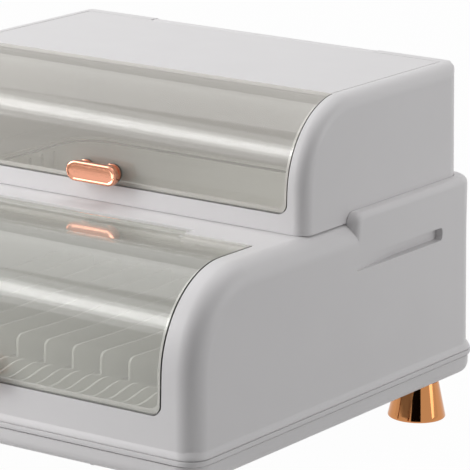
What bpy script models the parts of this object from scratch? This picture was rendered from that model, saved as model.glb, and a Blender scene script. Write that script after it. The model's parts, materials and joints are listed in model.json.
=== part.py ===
"""Two-tier covered dish drainer: a plate rack under a clear flip-up lid, and a bowl box set back on top.

Metres, +Z up, +X to the right of someone facing it, front towards -Y. The origin is on the floor, midway
between the front of the lower handle and the rear lip. Run with: blender --background --python part.py
"""

import math

import bmesh
import bpy
from mathutils import Matrix, Vector

# Clearances and tessellation
GAP = 0.0003                    # between touching pieces
LID_GAP = 0.0009                # shut line round each lid
OVERRUN = 0.0060                # how far a cutter passes the face it cuts
ROOT = 0.0008                   # how deep a boss or rib is sunk into its wall before the union
ARC_STEPS = 10
FILLET_STEPS = 4
ROUND_SIDES = 20
SMALL_SIDES = 10
SMOOTH_ANGLE = math.radians(32)

# Whole body
LIP_WIDTH = 0.4400
LIP_DEPTH = 0.4360
FLOOR_TO_SEAM = 0.0590
FLOOR_TO_DECK = 0.2060
DECK_TO_TOP = 0.1060
WALL = 0.0030
DRAFT = math.radians(1.25)

# Lower body shell
LIP_FLARE = 0.0030
LIP_HEIGHT = 0.0100
LOWER_UPRIGHT = 0.0680          # from the seam up to where the front starts to roll back
LOWER_EDGE_FILLET = 0.0220
LOWER_CORNER = 0.0240

# Raised shoulder round the upper tier
SHOULDER_SET_BACK = 0.0620      # from the upper front face
SHOULDER_RISE = 0.0090
SHOULDER_FOOT = 0.0520          # below the deck, where it fades into the wall
SHOULDER_FILLET = 0.0090
SHOULDER_DRAFT = math.radians(0.55)
SHOULDER_CLEARANCE = 0.0006     # to the upper tier

# Finger slots in the sides
SLOT_REAR_MARGIN = 0.0600       # from the slot's rear end to the rear wall
SLOT_HEIGHT = 0.0112
SLOT_DEPTH = 0.0070
SLOT_TOP_DROP = 0.0275          # below the deck
SLOT_BACKING = 0.0025

# Upper body box
UPPER_SET_BACK = 0.1720         # from the lower front face to the upper front face
UPPER_SIDE_STEP = 0.0142        # from the lower side wall at the seam in to the upper side wall
UPPER_REAR_STEP = 0.0032        # from the lower rear wall in to the upper rear wall, at the deck
UPPER_UPRIGHT = 0.0340          # from the deck up to where the front starts to roll back
UPPER_EDGE_FILLET = 0.0120
UPPER_CORNER = 0.0240
UPPER_REAR_EDGE = 0.0050

# Lids
LID_THICKNESS = 0.0030
LID_CORNER = 0.0080
LEDGE_WIDTH = 0.0080
LEDGE_SILL = 0.0055             # along a lid's bottom edge, clear of the handle screws
LEDGE_THICKNESS = 0.0028
LOWER_LID_CHEEK = 0.0340        # side wall to the lid's side edge
LOWER_LID_RISE = 0.0353         # above the seam
LOWER_LID_DEPTH = 0.1250        # lower front face to the lid's rear edge
UPPER_LID_CHEEK = 0.0188
UPPER_LID_RISE = 0.0166         # above the deck
UPPER_LID_REAR = 0.0176         # panel's rear edge to the upper rear wall
PANEL_LAP = 0.0070              # how far the white panel reaches down the roll
OPENING_SHARE = 0.5             # how much of the roll's radius an opening's cutter takes
WINDOW_FLANGE = 0.0100          # tongue of the window under the panel
WINDOW_FLANGE_THICKNESS = 0.0022
REAR_EDGE_LAND = 0.0010         # square part of a lid's rear edge, above its undercut

# Hinges
HINGE_WIDTH = 0.2330
HINGE_RADIUS = 0.0056
HINGE_SET_BACK = 0.0072         # lid's rear edge to the hinge axis
HINGE_CLEARANCE = 0.0007
HINGE_REAR_CLEARANCE = 0.0015   # behind the barrel, for the lid's heel when it leans past upright
PIN_RADIUS = 0.0016
PIN_LENGTH = 0.0180
PIN_END_CLEARANCE = 0.0004
EAR_WIDTH = 0.0110
EAR_DEPTH = 0.0150

# Handles
HANDLE_LENGTH = 0.0510
HANDLE_HEIGHT = 0.0170
HANDLE_BAR_THICKNESS = 0.0055
HANDLE_POST_LENGTH = 0.0095
HANDLE_POST_RADIUS = 0.0082
HANDLE_POST_COLLAR = 0.0006
COLLAR_SHARES = (0.40, 0.46, 0.56, 0.62)    # where the collar starts, is deep, and ends along a post
HANDLE_POST_SPREAD = 0.0270
HANDLE_ABOVE_EDGE = 0.0098      # handle centre above the lid's bottom edge
HANDLE_RIM = 0.0012
HANDLE_DISH = 0.0010
HANDLE_SCREW_RADIUS = 0.0017
HANDLE_SCREW_HEAD_RADIUS = 0.0035
HANDLE_SCREW_HEAD = 0.0022
HANDLE_SCREW_BITE = 0.0022      # into the bar
CROWN_RADIUS_SHARE = 0.6        # flat top of a screw head
CROWN_HEIGHT_SHARE = 0.5        # straight side of a screw head

# Base tray
REVEAL = 0.0013                 # open line under the lip
BASE_STEP_IN = 0.0025           # base rim in from the lip
BASE_EDGE_RADIUS = 0.0100
BASE_FLOOR = 0.0030
BASE_NECK_RISE = 0.0075         # neck above the rim
BASE_NECK_WALL = 0.0025
BASE_INNER_RADIUS = 0.0080
SUPPORT_RING_WIDTH = 0.0050
SUPPORT_RING_HEIGHT = 0.0025

# Body screws, driven up through the base
BODY_SCREW_RADIUS = 0.0015
BODY_SCREW_HEAD_RADIUS = 0.0035
BODY_SCREW_HEAD = 0.0020
BODY_SCREW_BITE = 0.0060
BODY_SCREW_IN = 0.0140          # from the body's outer wall, at the middle of each side
BODY_BOSS_RADIUS = 0.0045
BODY_BOSS_HEIGHT = 0.0080

# Feet
FOOT_HEIGHT = 0.0400
FOOT_TOP_RADIUS = 0.0168
FOOT_BASE_RADIUS = 0.0255
FOOT_EDGE = 0.0016
FOOT_INSET_X = 0.0390           # foot centre in from the lip
FOOT_INSET_REAR = 0.0400
FOOT_LIFT = 0.0005              # plated edge above the floor
FOOT_SCREW_RADIUS = 0.0020
FOOT_SCREW_HEAD_RADIUS = 0.0045
FOOT_SCREW_HEAD = 0.0026
FOOT_SCREW_BITE = 0.0160
PAD_RADIUS = 0.0200
PAD_THICKNESS = 0.0018

# Plate rack
RACK_TALL_COUNT = 13
RACK_SIDE_CLEARANCE = 0.0310    # rail to the inside of the side wall
RACK_FIN = 0.0022
RACK_FRONT_CLEARANCE = 0.0060   # behind the inside of the lower front wall
RACK_REAR_CLEARANCE = 0.0700
RACK_UNDERSIDE = 0.0740
RACK_BAR_WIDTH = 0.0050
RACK_BAR_HEIGHT = 0.0045
RACK_RAIL_OVERHANG = 0.0070     # rail beyond the last fin
RACK_BAR_SHARES = (0.0, 0.24, 0.62, 1.0)
RACK_TALL_TOP = 0.1025
RACK_TALL_FRONT = 0.0870        # rack front to the tall part's front edge
RACK_TALL_CORNER = 0.0060
RACK_TALL_DIP = 0.0014
RACK_CREST_TOP = 0.0942
RACK_CREST_AT = 0.0520          # rack front to the crest
RACK_VALLEY_TOP = 0.0895
RACK_VALLEY_AT = 0.0210
RACK_FRONT_TOP = 0.0925
RACK_SADDLE_TOP = 0.0840        # between the crest and the tall part
RACK_LEG_RADIUS = 0.0050
WAVE_STEPS = 4

# Bowl basket, which hangs by its rim through the upper floor and the deck
BASKET_SIDE_MARGIN = 0.0538     # upper side wall to the inside of the basket
BASKET_FRONT_MARGIN = 0.0210
BASKET_REAR_MARGIN = 0.0746
BASKET_CORNER = 0.0300
BASKET_WALL = 0.0022
BASKET_DROP = 0.0320            # deck down to the basket's floor
BASKET_TAPER = 0.0015           # how far each wall leans in by its foot
BASKET_FOOT_BEND = 0.0040
BASKET_RIM_WIDTH = 0.0110
BASKET_RIM_THICKNESS = 0.0020
BASKET_CLEARANCE = 0.0010       # to the upper floor, and twice that to the deck
BASKET_SLOT_WIDTH = 0.0052
BASKET_SLOT_PITCH = 0.0175
BASKET_SLOT_FOOT = 0.0065       # solid wall under a slot
BASKET_SLOT_CROWN = 0.0100      # solid wall over a slot
BASKET_DRAIN_WIDTH = 0.0040
BASKET_DRAIN_PITCH = 0.0180

# Places worked out from the sizes above
HANDLE_REACH = HANDLE_POST_LENGTH + HANDLE_BAR_THICKNESS
LIP_FRONT = (HANDLE_REACH - LIP_FLARE - LIP_DEPTH) / 2
LIP_REAR = LIP_FRONT + LIP_DEPTH
LOWER_FRONT = LIP_FRONT + LIP_FLARE
LOWER_REAR = LIP_REAR - LIP_FLARE
LOWER_HALF = LIP_WIDTH / 2 - LIP_FLARE
FLOOR_TO_TOP = FLOOR_TO_DECK + DECK_TO_TOP
LOWER_FRONT_ARC = FLOOR_TO_DECK - FLOOR_TO_SEAM - LOWER_UPRIGHT
UPPER_FRONT = LOWER_FRONT + UPPER_SET_BACK
UPPER_HALF = LOWER_HALF - UPPER_SIDE_STEP
UPPER_FRONT_ARC = DECK_TO_TOP - UPPER_UPRIGHT
UPPER_BASE = FLOOR_TO_DECK + GAP
UPPER_REAR = LOWER_REAR - math.tan(DRAFT) * (FLOOR_TO_DECK - FLOOR_TO_SEAM) - UPPER_REAR_STEP
UPPER_FLOOR = UPPER_BASE + WALL
SHOULDER_FRONT = UPPER_FRONT + SHOULDER_SET_BACK
SLOT_LENGTH = LOWER_REAR - SLOT_REAR_MARGIN - SHOULDER_FRONT
BASE_TOP = FLOOR_TO_SEAM - REVEAL
NECK_TOP = BASE_TOP + BASE_NECK_RISE
TRAY_FLOOR = FOOT_HEIGHT + BASE_FLOOR
RACK_REACH = LOWER_HALF - WALL - RACK_SIDE_CLEARANCE - RACK_BAR_WIDTH
RACK_PITCH = (RACK_REACH - RACK_RAIL_OVERHANG) * 2 / (RACK_TALL_COUNT - 1)
BASKET_HALF = UPPER_HALF - BASKET_SIDE_MARGIN
BASKET_FRONT = UPPER_FRONT + BASKET_FRONT_MARGIN
BASKET_REAR = UPPER_REAR - BASKET_REAR_MARGIN


class Lid:
    """The places that a lid, its opening and its hinge share."""

    def __init__(self, front, top, arc, bottom, rear, half):
        self.front = front
        self.top = top
        self.arc = arc
        self.bottom = bottom
        self.rear = rear
        self.half = half
        self.hinge_y = self.rear + HINGE_SET_BACK
        self.hinge_z = top - HINGE_RADIUS
        self.handle_z = bottom + HANDLE_ABOVE_EDGE


LOWER = Lid(LOWER_FRONT, FLOOR_TO_DECK, LOWER_FRONT_ARC, FLOOR_TO_SEAM + LOWER_LID_RISE,
            LOWER_FRONT + LOWER_LID_DEPTH, LOWER_HALF - LOWER_LID_CHEEK)
UPPER = Lid(UPPER_FRONT, FLOOR_TO_TOP, UPPER_FRONT_ARC, FLOOR_TO_DECK + UPPER_LID_RISE,
            UPPER_REAR - UPPER_LID_REAR, UPPER_HALF - UPPER_LID_CHEEK)


# Materials

def srgb(value):
    """One sRGB channel, 0 to 255, as a linear value."""
    share = value / 255
    return share / 12.92 if share <= 0.04045 else ((share + 0.055) / 1.055) ** 2.4


def material(name, red, green, blue, roughness, metallic=0.0, alpha=1.0):
    """A Principled material of one colour."""
    made = bpy.data.materials.new(name)
    made.use_nodes = True
    shader = made.node_tree.nodes["Principled BSDF"]
    shader.inputs["Base Color"].default_value = (srgb(red), srgb(green), srgb(blue), 1.0)
    shader.inputs["Roughness"].default_value = roughness
    shader.inputs["Metallic"].default_value = metallic
    shader.inputs["Alpha"].default_value = alpha
    return made


# Mesh helpers

def new_object(name, mesh, finish=None, sharp=SMOOTH_ANGLE):
    """A mesh from a bmesh, shaded smooth between its sharp edges, in an object of its own."""
    data = bpy.data.meshes.new(name)
    mesh.to_mesh(data)
    mesh.free()
    data.shade_smooth()
    data.set_sharp_from_angle(angle=sharp)
    made = bpy.data.objects.new(name, data)
    bpy.context.scene.collection.objects.link(made)
    if finish is not None:
        data.materials.append(finish)
    return made


def loft(loops, closed=False, strips=0):
    """Skin between loops of equal length, joined back to the first or capped at both ends.

    A cap starts with strips between the points that its loop begins and ends with, so that a cap which
    isn't flat there has flat faces.
    """
    mesh = bmesh.new()
    rings = [[mesh.verts.new(point) for point in loop] for loop in loops]
    count = len(rings[0])
    pairs = list(zip(rings, rings[1:]))
    if closed:
        pairs.append((rings[-1], rings[0]))
    for lower, upper in pairs:
        for i in range(count):
            j = (i + 1) % count
            mesh.faces.new((lower[i], lower[j], upper[j], upper[i]))
    if not closed:
        for ring in (rings[0], rings[-1]):
            for i in range(strips):
                mesh.faces.new((ring[i], ring[i + 1], ring[count - 2 - i], ring[count - 1 - i]))
            mesh.faces.new(ring[strips:count - strips])
    bmesh.ops.recalc_face_normals(mesh, faces=mesh.faces)
    return mesh


def across(outline, low, high):
    """A (y, z) outline carried along X."""
    return loft([[(x, y, z) for y, z in outline] for x in (low, high)])


def upright(outline, low, high):
    """An (x, y) outline carried up along Z."""
    return loft([[(x, y, z) for x, y in outline] for z in (low, high)])


def block(low, high):
    """A square block between two corners."""
    return across([(low[1], low[2]), (high[1], low[2]), (high[1], high[2]), (low[1], high[2])], low[0], high[0])


def turned(profile, sides):
    """A solid of revolution about Z from (radius, height) points; its first and last points lie on the axis."""
    mesh = bmesh.new()
    rings = []
    for radius, height in profile:
        if radius == 0:
            rings.append([mesh.verts.new((0, 0, height))])
        else:
            ring = []
            for k in range(sides):
                turn = math.tau * k / sides
                ring.append(mesh.verts.new((radius * math.cos(turn), radius * math.sin(turn), height)))
            rings.append(ring)
    for lower, upper in zip(rings, rings[1:]):
        for k in range(sides):
            j = (k + 1) % sides
            corners = [lower[k % len(lower)], lower[j % len(lower)], upper[j % len(upper)], upper[k % len(upper)]]
            mesh.faces.new(list(dict.fromkeys(corners)))
    bmesh.ops.recalc_face_normals(mesh, faces=mesh.faces)
    return mesh


def placed(mesh, place, turn=None):
    """Move a bmesh to a place, after an optional turn."""
    if turn is not None:
        bmesh.ops.transform(mesh, matrix=turn, verts=mesh.verts)
    bmesh.ops.translate(mesh, vec=Vector(place), verts=mesh.verts)
    return mesh


def gathered(meshes):
    """Several bmeshes as separate bodies in one."""
    whole = bmesh.new()
    for mesh in meshes:
        part = bpy.data.meshes.new("part")
        mesh.to_mesh(part)
        mesh.free()
        whole.from_mesh(part)
        bpy.data.meshes.remove(part)
    return whole


def shape_with(target, mesh, operation):
    """A Boolean against a hidden helper shape."""
    helper = new_object(target.name + "_" + operation.lower() + str(len(target.modifiers)), mesh)
    helper.hide_render = True
    helper.display_type = "WIRE"
    step = target.modifiers.new(operation.lower(), "BOOLEAN")
    step.operation = operation
    step.solver = "EXACT"
    step.object = helper
    return target


def add(target, *meshes):
    """Join solids on to the target."""
    return shape_with(target, gathered(meshes), "UNION")


def cut(target, *meshes):
    """Cut solids out of the target."""
    return shape_with(target, gathered(meshes), "DIFFERENCE")


SIDES = ((-1, "left"), (1, "right"))
TO_X = Matrix.Rotation(math.radians(90), 4, "Y")
TO_FRONT = Matrix.Rotation(math.radians(90), 4, "X")
TO_REAR = Matrix.Rotation(math.radians(-90), 4, "X")


def rod(radius, low, high, sides):
    """A plain round bar up Z, for cutting bores."""
    return turned([(0, low), (radius, low), (radius, high), (0, high)], sides)


def arc_points(centre_y, centre_z, radius, start, end, steps):
    """Points (y, z) round an arc; angles in radians from +Y towards +Z."""
    points = []
    for k in range(steps + 1):
        turn = start + (end - start) * k / steps
        points.append((centre_y + radius * math.cos(turn), centre_z + radius * math.sin(turn)))
    return points


def rounded_rectangle(low_x, low_y, high_x, high_y, radius, steps=FILLET_STEPS):
    """An (x, y) outline with round corners, anticlockwise."""
    points = []
    corners = ((high_x, high_y, 0), (low_x, high_y, 1), (low_x, low_y, 2), (high_x, low_y, 3))
    for x, y, quarter in corners:
        centre_x = x - math.copysign(radius, x - (low_x + high_x) / 2)
        centre_y = y - math.copysign(radius, y - (low_y + high_y) / 2)
        for k in range(steps + 1):
            turn = math.pi / 2 * (quarter + k / steps)
            points.append((centre_x + radius * math.cos(turn), centre_y + radius * math.sin(turn)))
    return points


def round_edges(mesh, radius, chosen):
    """Round the edges for which chosen(first end, second end) holds."""
    edges = [edge for edge in mesh.edges if chosen(edge.verts[0].co, edge.verts[1].co)]
    bmesh.ops.bevel(mesh, geom=edges, offset=radius, segments=FILLET_STEPS, profile=0.5, affect="EDGES")
    return mesh


def near(a, b):
    """Whether two lengths are the same but for rounding."""
    return abs(a - b) < GAP / 10


# Body shells

def set_in(offset, radius):
    """How far a fillet of this radius has turned in, offset past its start."""
    past = min(max(offset, 0), radius)
    return radius - math.sqrt(max(radius * radius - past * past, 0))


def shell(half, low, top, front, rear, arc, fillet, corner, rear_edge, draft, flare=0.0, flare_height=0.0):
    """A box whose front rolls over into its top, lofted from side profiles that turn in at the ends."""
    turns = [math.pi / 2 * k / FILLET_STEPS for k in range(FILLET_STEPS + 1)]
    stations = {half}
    for radius in (fillet, corner):
        for turn in turns[:-1]:
            stations.add(half - radius + radius * math.sin(turn))
    ordered = sorted(stations)
    ordered = [-x for x in reversed(ordered)] + ordered
    flare_shares = ((0.0, 0.85), (0.35, 1.0), (0.75, 0.55), (1.0, 0.0)) if flare else ((0.0, 0.0),)
    loops = []
    for x in ordered:
        past_front = abs(x) - (half - fillet)
        past_rear = abs(x) - (half - corner)
        front_in = set_in(past_front, fillet)
        rear_in = set_in(past_rear, corner)
        front_turn = min(max(past_front / fillet, 0), 1)
        rear_turn = min(max(past_rear / corner, 0), 1)
        profile = []
        for rise_share, out_share in flare_shares:
            out = flare * out_share
            profile.append((front + front_in - out * math.sqrt(1 - front_turn ** 2), low + flare_height * rise_share,
                            out * front_turn))
        for y, z in arc_points(front + arc, top - arc, arc - front_in, math.pi, math.pi / 2, ARC_STEPS):
            profile.append((y, z, 0.0))
        bend = min(rear_edge, arc)
        for y, z in arc_points(rear - rear_in - bend, top - front_in - bend, bend, math.pi / 2, 0, 2):
            profile.append((y - math.tan(draft) * (z - low), z, 0.0))
        for rise_share, out_share in reversed(flare_shares):
            out = flare * out_share
            z = low + flare_height * rise_share
            y = rear - rear_in + out * math.sqrt(1 - rear_turn ** 2) - math.tan(draft) * (z - low)
            profile.append((y, z, out * rear_turn))
        loop = []
        for y, z, out in profile:
            narrow = math.tan(draft) * (z - low) * abs(x) / half
            loop.append((math.copysign(abs(x) - narrow + out, x), y, z))
        loops.append(loop)
    return loft(loops, strips=len(flare_shares) - 1)


def lid_band(lid, outer, inner, low, high, half):
    """A strip that follows a lid's face, between two depths, from its bottom edge to its rear edge."""
    turn_y = lid.front + lid.arc
    turn_z = lid.top - lid.arc
    outside = arc_points(turn_y, turn_z, lid.arc - outer, math.pi, math.pi / 2, ARC_STEPS)
    inside = arc_points(turn_y, turn_z, lid.arc - inner, math.pi / 2, math.pi, ARC_STEPS)
    outline = [(lid.front + outer, low)] + outside + [(high, lid.top - outer), (high, lid.top - inner)]
    outline += inside + [(lid.front + inner, low)]
    return across(outline, -half, half)


def opening(lid, depth, low, high, half, radius):
    """A cutter for everything outside a lid's face at a depth, with round bottom corners."""
    turn_y = lid.front + lid.arc
    turn_z = lid.top - lid.arc
    seat = arc_points(turn_y, turn_z, lid.arc - depth, math.pi / 2, math.pi, ARC_STEPS)
    outline = [(lid.front - OVERRUN, low), (lid.front - OVERRUN, lid.top + OVERRUN), (high, lid.top + OVERRUN)]
    outline += [(high, lid.top - depth)] + seat + [(lid.front + depth, low)]
    mesh = across(outline, -half, half)
    return round_edges(mesh, radius, lambda a, b: near(a.z, low) and near(b.z, low) and near(a.x, b.x))


def frame_for_lid(body, lid):
    """Give a shell the ledge that its lid shuts on, the opening inside it, and the hinge seat."""
    reach = lid.half + LID_GAP
    seat = LID_THICKNESS + GAP
    ledge_bottom = seat + LEDGE_THICKNESS
    low = lid.bottom - LID_GAP
    high = lid.rear + LID_GAP
    rim = WALL - ROOT
    add(body, lid_band(lid, rim, ledge_bottom, low - LEDGE_WIDTH / 2, high + LEDGE_WIDTH / 2, reach + LEDGE_WIDTH / 2))
    ears = []
    pin_holes = []
    end = HINGE_WIDTH / 2 + HINGE_CLEARANCE
    for side in (-1, 1):
        inner, outer = sorted((side * end, side * (end + EAR_WIDTH)))
        bottom = lid.hinge_z - HINGE_RADIUS - HINGE_CLEARANCE
        ears.append(block((inner, lid.hinge_y - EAR_DEPTH / 2, bottom), (outer, lid.hinge_y + EAR_DEPTH / 2,
                                                                       lid.top - WALL + ROOT)))
        reach_out = PIN_LENGTH / 2 + PIN_END_CLEARANCE
        bore = rod(PIN_RADIUS + GAP, -reach_out, reach_out, SMALL_SIDES)
        pin_holes.append(placed(bore, (side * end, lid.hinge_y, lid.hinge_z), TO_X))
    add(body, *ears)
    cut(body, opening(lid, seat, low, high, reach, LID_CORNER))
    cut(body, opening(lid, lid.arc * OPENING_SHARE, low + LEDGE_SILL, high - LEDGE_WIDTH, reach - LEDGE_WIDTH, LID_CORNER))
    trough = HINGE_RADIUS + HINGE_CLEARANCE
    cut(body, block((-end, lid.rear - LEDGE_WIDTH * 2, lid.hinge_z - trough),
                    (end, lid.hinge_y + HINGE_RADIUS + HINGE_REAR_CLEARANCE, lid.top + OVERRUN)))
    cut(body, *pin_holes)


def lower_body(finish):
    """The big shell: front sill, cheeks, rear wall and deck, open below, with the raised shoulder."""
    skin = shell(LOWER_HALF, FLOOR_TO_SEAM, FLOOR_TO_DECK, LOWER_FRONT, LOWER_REAR, LOWER_FRONT_ARC,
                 LOWER_EDGE_FILLET, LOWER_CORNER, WALL, DRAFT, LIP_FLARE, LIP_HEIGHT)
    body = new_object("lower_body", skin, finish)
    foot = FLOOR_TO_DECK - SHOULDER_FOOT
    narrow = math.tan(DRAFT) * (foot - FLOOR_TO_SEAM)
    add(body, shell(LOWER_HALF - narrow + GAP / 3, foot, FLOOR_TO_DECK + SHOULDER_RISE, SHOULDER_FRONT,
                    LOWER_REAR - narrow + GAP / 3, SHOULDER_FILLET, SHOULDER_FILLET, LOWER_CORNER, SHOULDER_FILLET / 4,
                    SHOULDER_DRAFT))
    cut(body, shell(LOWER_HALF - WALL, FLOOR_TO_SEAM - OVERRUN, FLOOR_TO_DECK - WALL, LOWER_FRONT + WALL,
                    LOWER_REAR - WALL, LOWER_FRONT_ARC - WALL, LOWER_EDGE_FILLET - WALL, LOWER_CORNER - WALL, WALL,
                    DRAFT))
    clear = SHOULDER_CLEARANCE
    cut(body, upright(rounded_rectangle(-UPPER_HALF - clear, UPPER_FRONT - clear, UPPER_HALF + clear,
                                        UPPER_REAR + clear, UPPER_CORNER + clear),
                      FLOOR_TO_DECK, FLOOR_TO_DECK + SHOULDER_RISE + OVERRUN))
    frame_for_lid(body, LOWER)
    window = BASKET_WALL + BASKET_CLEARANCE * 2
    cut(body, loft([basket_outline(window, z) for z in (FLOOR_TO_DECK - WALL - OVERRUN, FLOOR_TO_DECK + OVERRUN)]))
    add_finger_slots(body)
    add_support_ring(body)
    return body


def add_finger_slots(body):
    """A finger slot in each side under the shoulder, with a wall behind it."""
    top = FLOOR_TO_DECK - SLOT_TOP_DROP
    low = top - SLOT_HEIGHT
    outer = LOWER_HALF - math.tan(DRAFT) * (low - FLOOR_TO_SEAM)
    rear = SHOULDER_FRONT + SLOT_LENGTH
    backings = []
    recesses = []
    for side in (-1, 1):
        ends = sorted((side * (outer - SLOT_DEPTH - SLOT_BACKING), side * (outer - WALL + ROOT / 2)))
        backings.append(block((ends[0], SHOULDER_FRONT - SLOT_BACKING, low - SLOT_BACKING),
                              (ends[1], rear + SLOT_BACKING, top + SLOT_BACKING)))
        floor = outer - SLOT_DEPTH
        outside = outer + OVERRUN
        outline = [(side * floor, rear), (side * outside, rear), (side * outside, SHOULDER_FRONT),
                   (side * (outer - WALL / 2), SHOULDER_FRONT), (side * floor, SHOULDER_FRONT + SLOT_LENGTH / 2)]
        recesses.append(upright(outline, low, top))
    add(body, *backings)
    cut(body, *recesses)


def body_screw_places():
    """Where the body screws go, two in front and two behind, with the words for their names."""
    spread = LIP_WIDTH / 4
    rows = (("front_", LOWER_FRONT + BODY_SCREW_IN), ("rear_", LOWER_REAR - BODY_SCREW_IN))
    return [(row + word, side * spread, y) for row, y in rows for side, word in SIDES]


def add_support_ring(body):
    """The inner ring that stands on the base's neck, and the bosses that the body screws bite into."""
    low = NECK_TOP + GAP
    loops = []
    for depth, z in ((WALL - ROOT, low), (WALL - ROOT, low + SUPPORT_RING_HEIGHT),
                     (WALL + SUPPORT_RING_WIDTH, low + SUPPORT_RING_HEIGHT), (WALL + SUPPORT_RING_WIDTH, low)):
        narrow = math.tan(DRAFT) * (z - FLOOR_TO_SEAM) + depth
        outline = rounded_rectangle(-LOWER_HALF + narrow, LOWER_FRONT + depth, LOWER_HALF - narrow,
                                    LOWER_REAR - narrow, LOWER_CORNER - depth)
        loops.append([(x, y, z) for x, y in outline])
    add(body, loft(loops, closed=True))
    bosses = []
    bores = []
    for _, x, y in body_screw_places():
        inward = BODY_SCREW_IN - WALL + ROOT / 2
        wall_y = y - inward if y < 0 else y + inward
        bosses.append(block((x - BODY_BOSS_RADIUS, min(y - BODY_BOSS_RADIUS, wall_y), low + ROOT),
                            (x + BODY_BOSS_RADIUS, max(y + BODY_BOSS_RADIUS, wall_y), low + BODY_BOSS_HEIGHT)))
        bores.append(placed(rod(BODY_SCREW_RADIUS + GAP, low - OVERRUN, low + BODY_SCREW_BITE + GAP, SMALL_SIDES),
                            (x, y, 0)))
    add(body, *bosses)
    cut(body, *bores)


def upper_body(finish):
    """The upper box: floor, cheeks, rear wall and front sill in one."""
    skin = shell(UPPER_HALF, UPPER_BASE, FLOOR_TO_TOP, UPPER_FRONT, UPPER_REAR, UPPER_FRONT_ARC, UPPER_EDGE_FILLET,
                 UPPER_CORNER, UPPER_REAR_EDGE, DRAFT)
    body = new_object("upper_body", skin, finish)
    cut(body, shell(UPPER_HALF - WALL, UPPER_FLOOR, FLOOR_TO_TOP - WALL, UPPER_FRONT + WALL, UPPER_REAR - WALL,
                    UPPER_FRONT_ARC - WALL, UPPER_EDGE_FILLET - WALL, UPPER_CORNER - WALL, UPPER_REAR_EDGE, DRAFT))
    frame_for_lid(body, UPPER)
    notch = HINGE_WIDTH / 2 + HINGE_CLEARANCE
    low = UPPER.hinge_z - HINGE_RADIUS - HINGE_CLEARANCE
    cut(body, block((-notch, UPPER.hinge_y, low), (notch, UPPER_REAR + OVERRUN, FLOOR_TO_TOP + OVERRUN)))
    mouth = BASKET_WALL + BASKET_CLEARANCE
    cut(body, loft([basket_outline(mouth, z) for z in (UPPER_BASE - OVERRUN, UPPER_FLOOR + OVERRUN)]))
    return body


# Lids, with their hinge barrels

def on_face(lid, depth, reach):
    """The (y, z) point at a depth under a lid's face, this far behind the top of its roll or down it."""
    if reach > 0:
        return (lid.front + lid.arc + reach, lid.top - depth)
    turn = math.pi / 2 - reach / lid.arc
    radius = lid.arc - depth
    return (lid.front + lid.arc + radius * math.cos(turn), lid.top - lid.arc + radius * math.sin(turn))


def barrel(lid):
    """The hinge tongue and barrel across the middle of a lid's rear edge."""
    outline = arc_points(lid.hinge_y, lid.hinge_z, HINGE_RADIUS, math.pi / 2, -math.pi, ARC_STEPS)
    under = lid.top - LID_THICKNESS
    outline += [(lid.hinge_y - HINGE_RADIUS, under), (lid.rear - LEDGE_WIDTH / 2, under),
                (lid.rear - LEDGE_WIDTH / 2, lid.top)]
    return across(outline, -HINGE_WIDTH / 2, HINGE_WIDTH / 2)


def barrel_bores(lid):
    """The bores for the two hinge pins."""
    bores = []
    for side in (-1, 1):
        depth = PIN_LENGTH / 2 + PIN_END_CLEARANCE
        bore = rod(PIN_RADIUS + GAP, -depth, depth, SMALL_SIDES)
        bores.append(placed(bore, (side * (HINGE_WIDTH / 2 + HINGE_CLEARANCE), lid.hinge_y, lid.hinge_z), TO_X))
    return bores


def screw_bores(lid):
    """The two holes through a lid's face for its handle screws."""
    bores = []
    for side in (-1, 1):
        bore = rod(HANDLE_SCREW_RADIUS + GAP, -OVERRUN, LID_THICKNESS + OVERRUN, SMALL_SIDES)
        bores.append(placed(bore, (side * HANDLE_POST_SPREAD / 2, lid.front, lid.handle_z), TO_REAR))
    return bores


def corner_edge(lid):
    """Picks a lid's two bottom corner edges."""
    return lambda a, b: near(a.z, lid.bottom) and near(b.z, lid.bottom) and near(a.x, b.x)


def lower_lid(finish):
    """One clear sheet: flat top, quarter roll and upright front."""
    lid = LOWER
    turn_y = lid.front + lid.arc
    turn_z = lid.top - lid.arc
    outside = arc_points(turn_y, turn_z, lid.arc, math.pi, math.pi / 2, ARC_STEPS)
    inside = arc_points(turn_y, turn_z, lid.arc - LID_THICKNESS, math.pi / 2, math.pi, ARC_STEPS)
    under = lid.top - LID_THICKNESS
    undercut = LID_THICKNESS - REAR_EDGE_LAND
    outline = [(lid.front, lid.bottom)] + outside
    outline += [(lid.rear, lid.top), (lid.rear, lid.top - REAR_EDGE_LAND), (lid.rear - undercut, under)]
    outline += inside + [(lid.front + LID_THICKNESS, lid.bottom)]
    sheet = round_edges(across(outline, -lid.half, lid.half), LID_CORNER, corner_edge(lid))
    made = new_object("lower_lid", sheet, finish)
    add(made, barrel(lid))
    cut(made, *barrel_bores(lid), *screw_bores(lid))
    return made


def upper_lid_panel(finish):
    """The white half of the upper lid: flat, rolled over at its front edge, with the hinge barrel."""
    lid = UPPER
    under = lid.top - LID_THICKNESS
    undercut = LID_THICKNESS - REAR_EDGE_LAND
    roll = [GAP - PANEL_LAP * (1 - k / FILLET_STEPS) for k in range(FILLET_STEPS)] + [0.0]
    outline = [on_face(lid, 0.0, reach) for reach in roll]
    outline += [(lid.rear, lid.top), (lid.rear, lid.top - REAR_EDGE_LAND), (lid.rear - undercut, under)]
    outline += [on_face(lid, LID_THICKNESS, reach) for reach in reversed(roll)]
    made = new_object("upper_lid_panel", across(outline, -lid.half, lid.half), finish)
    add(made, barrel(lid))
    cut(made, *barrel_bores(lid))
    return made


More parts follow.
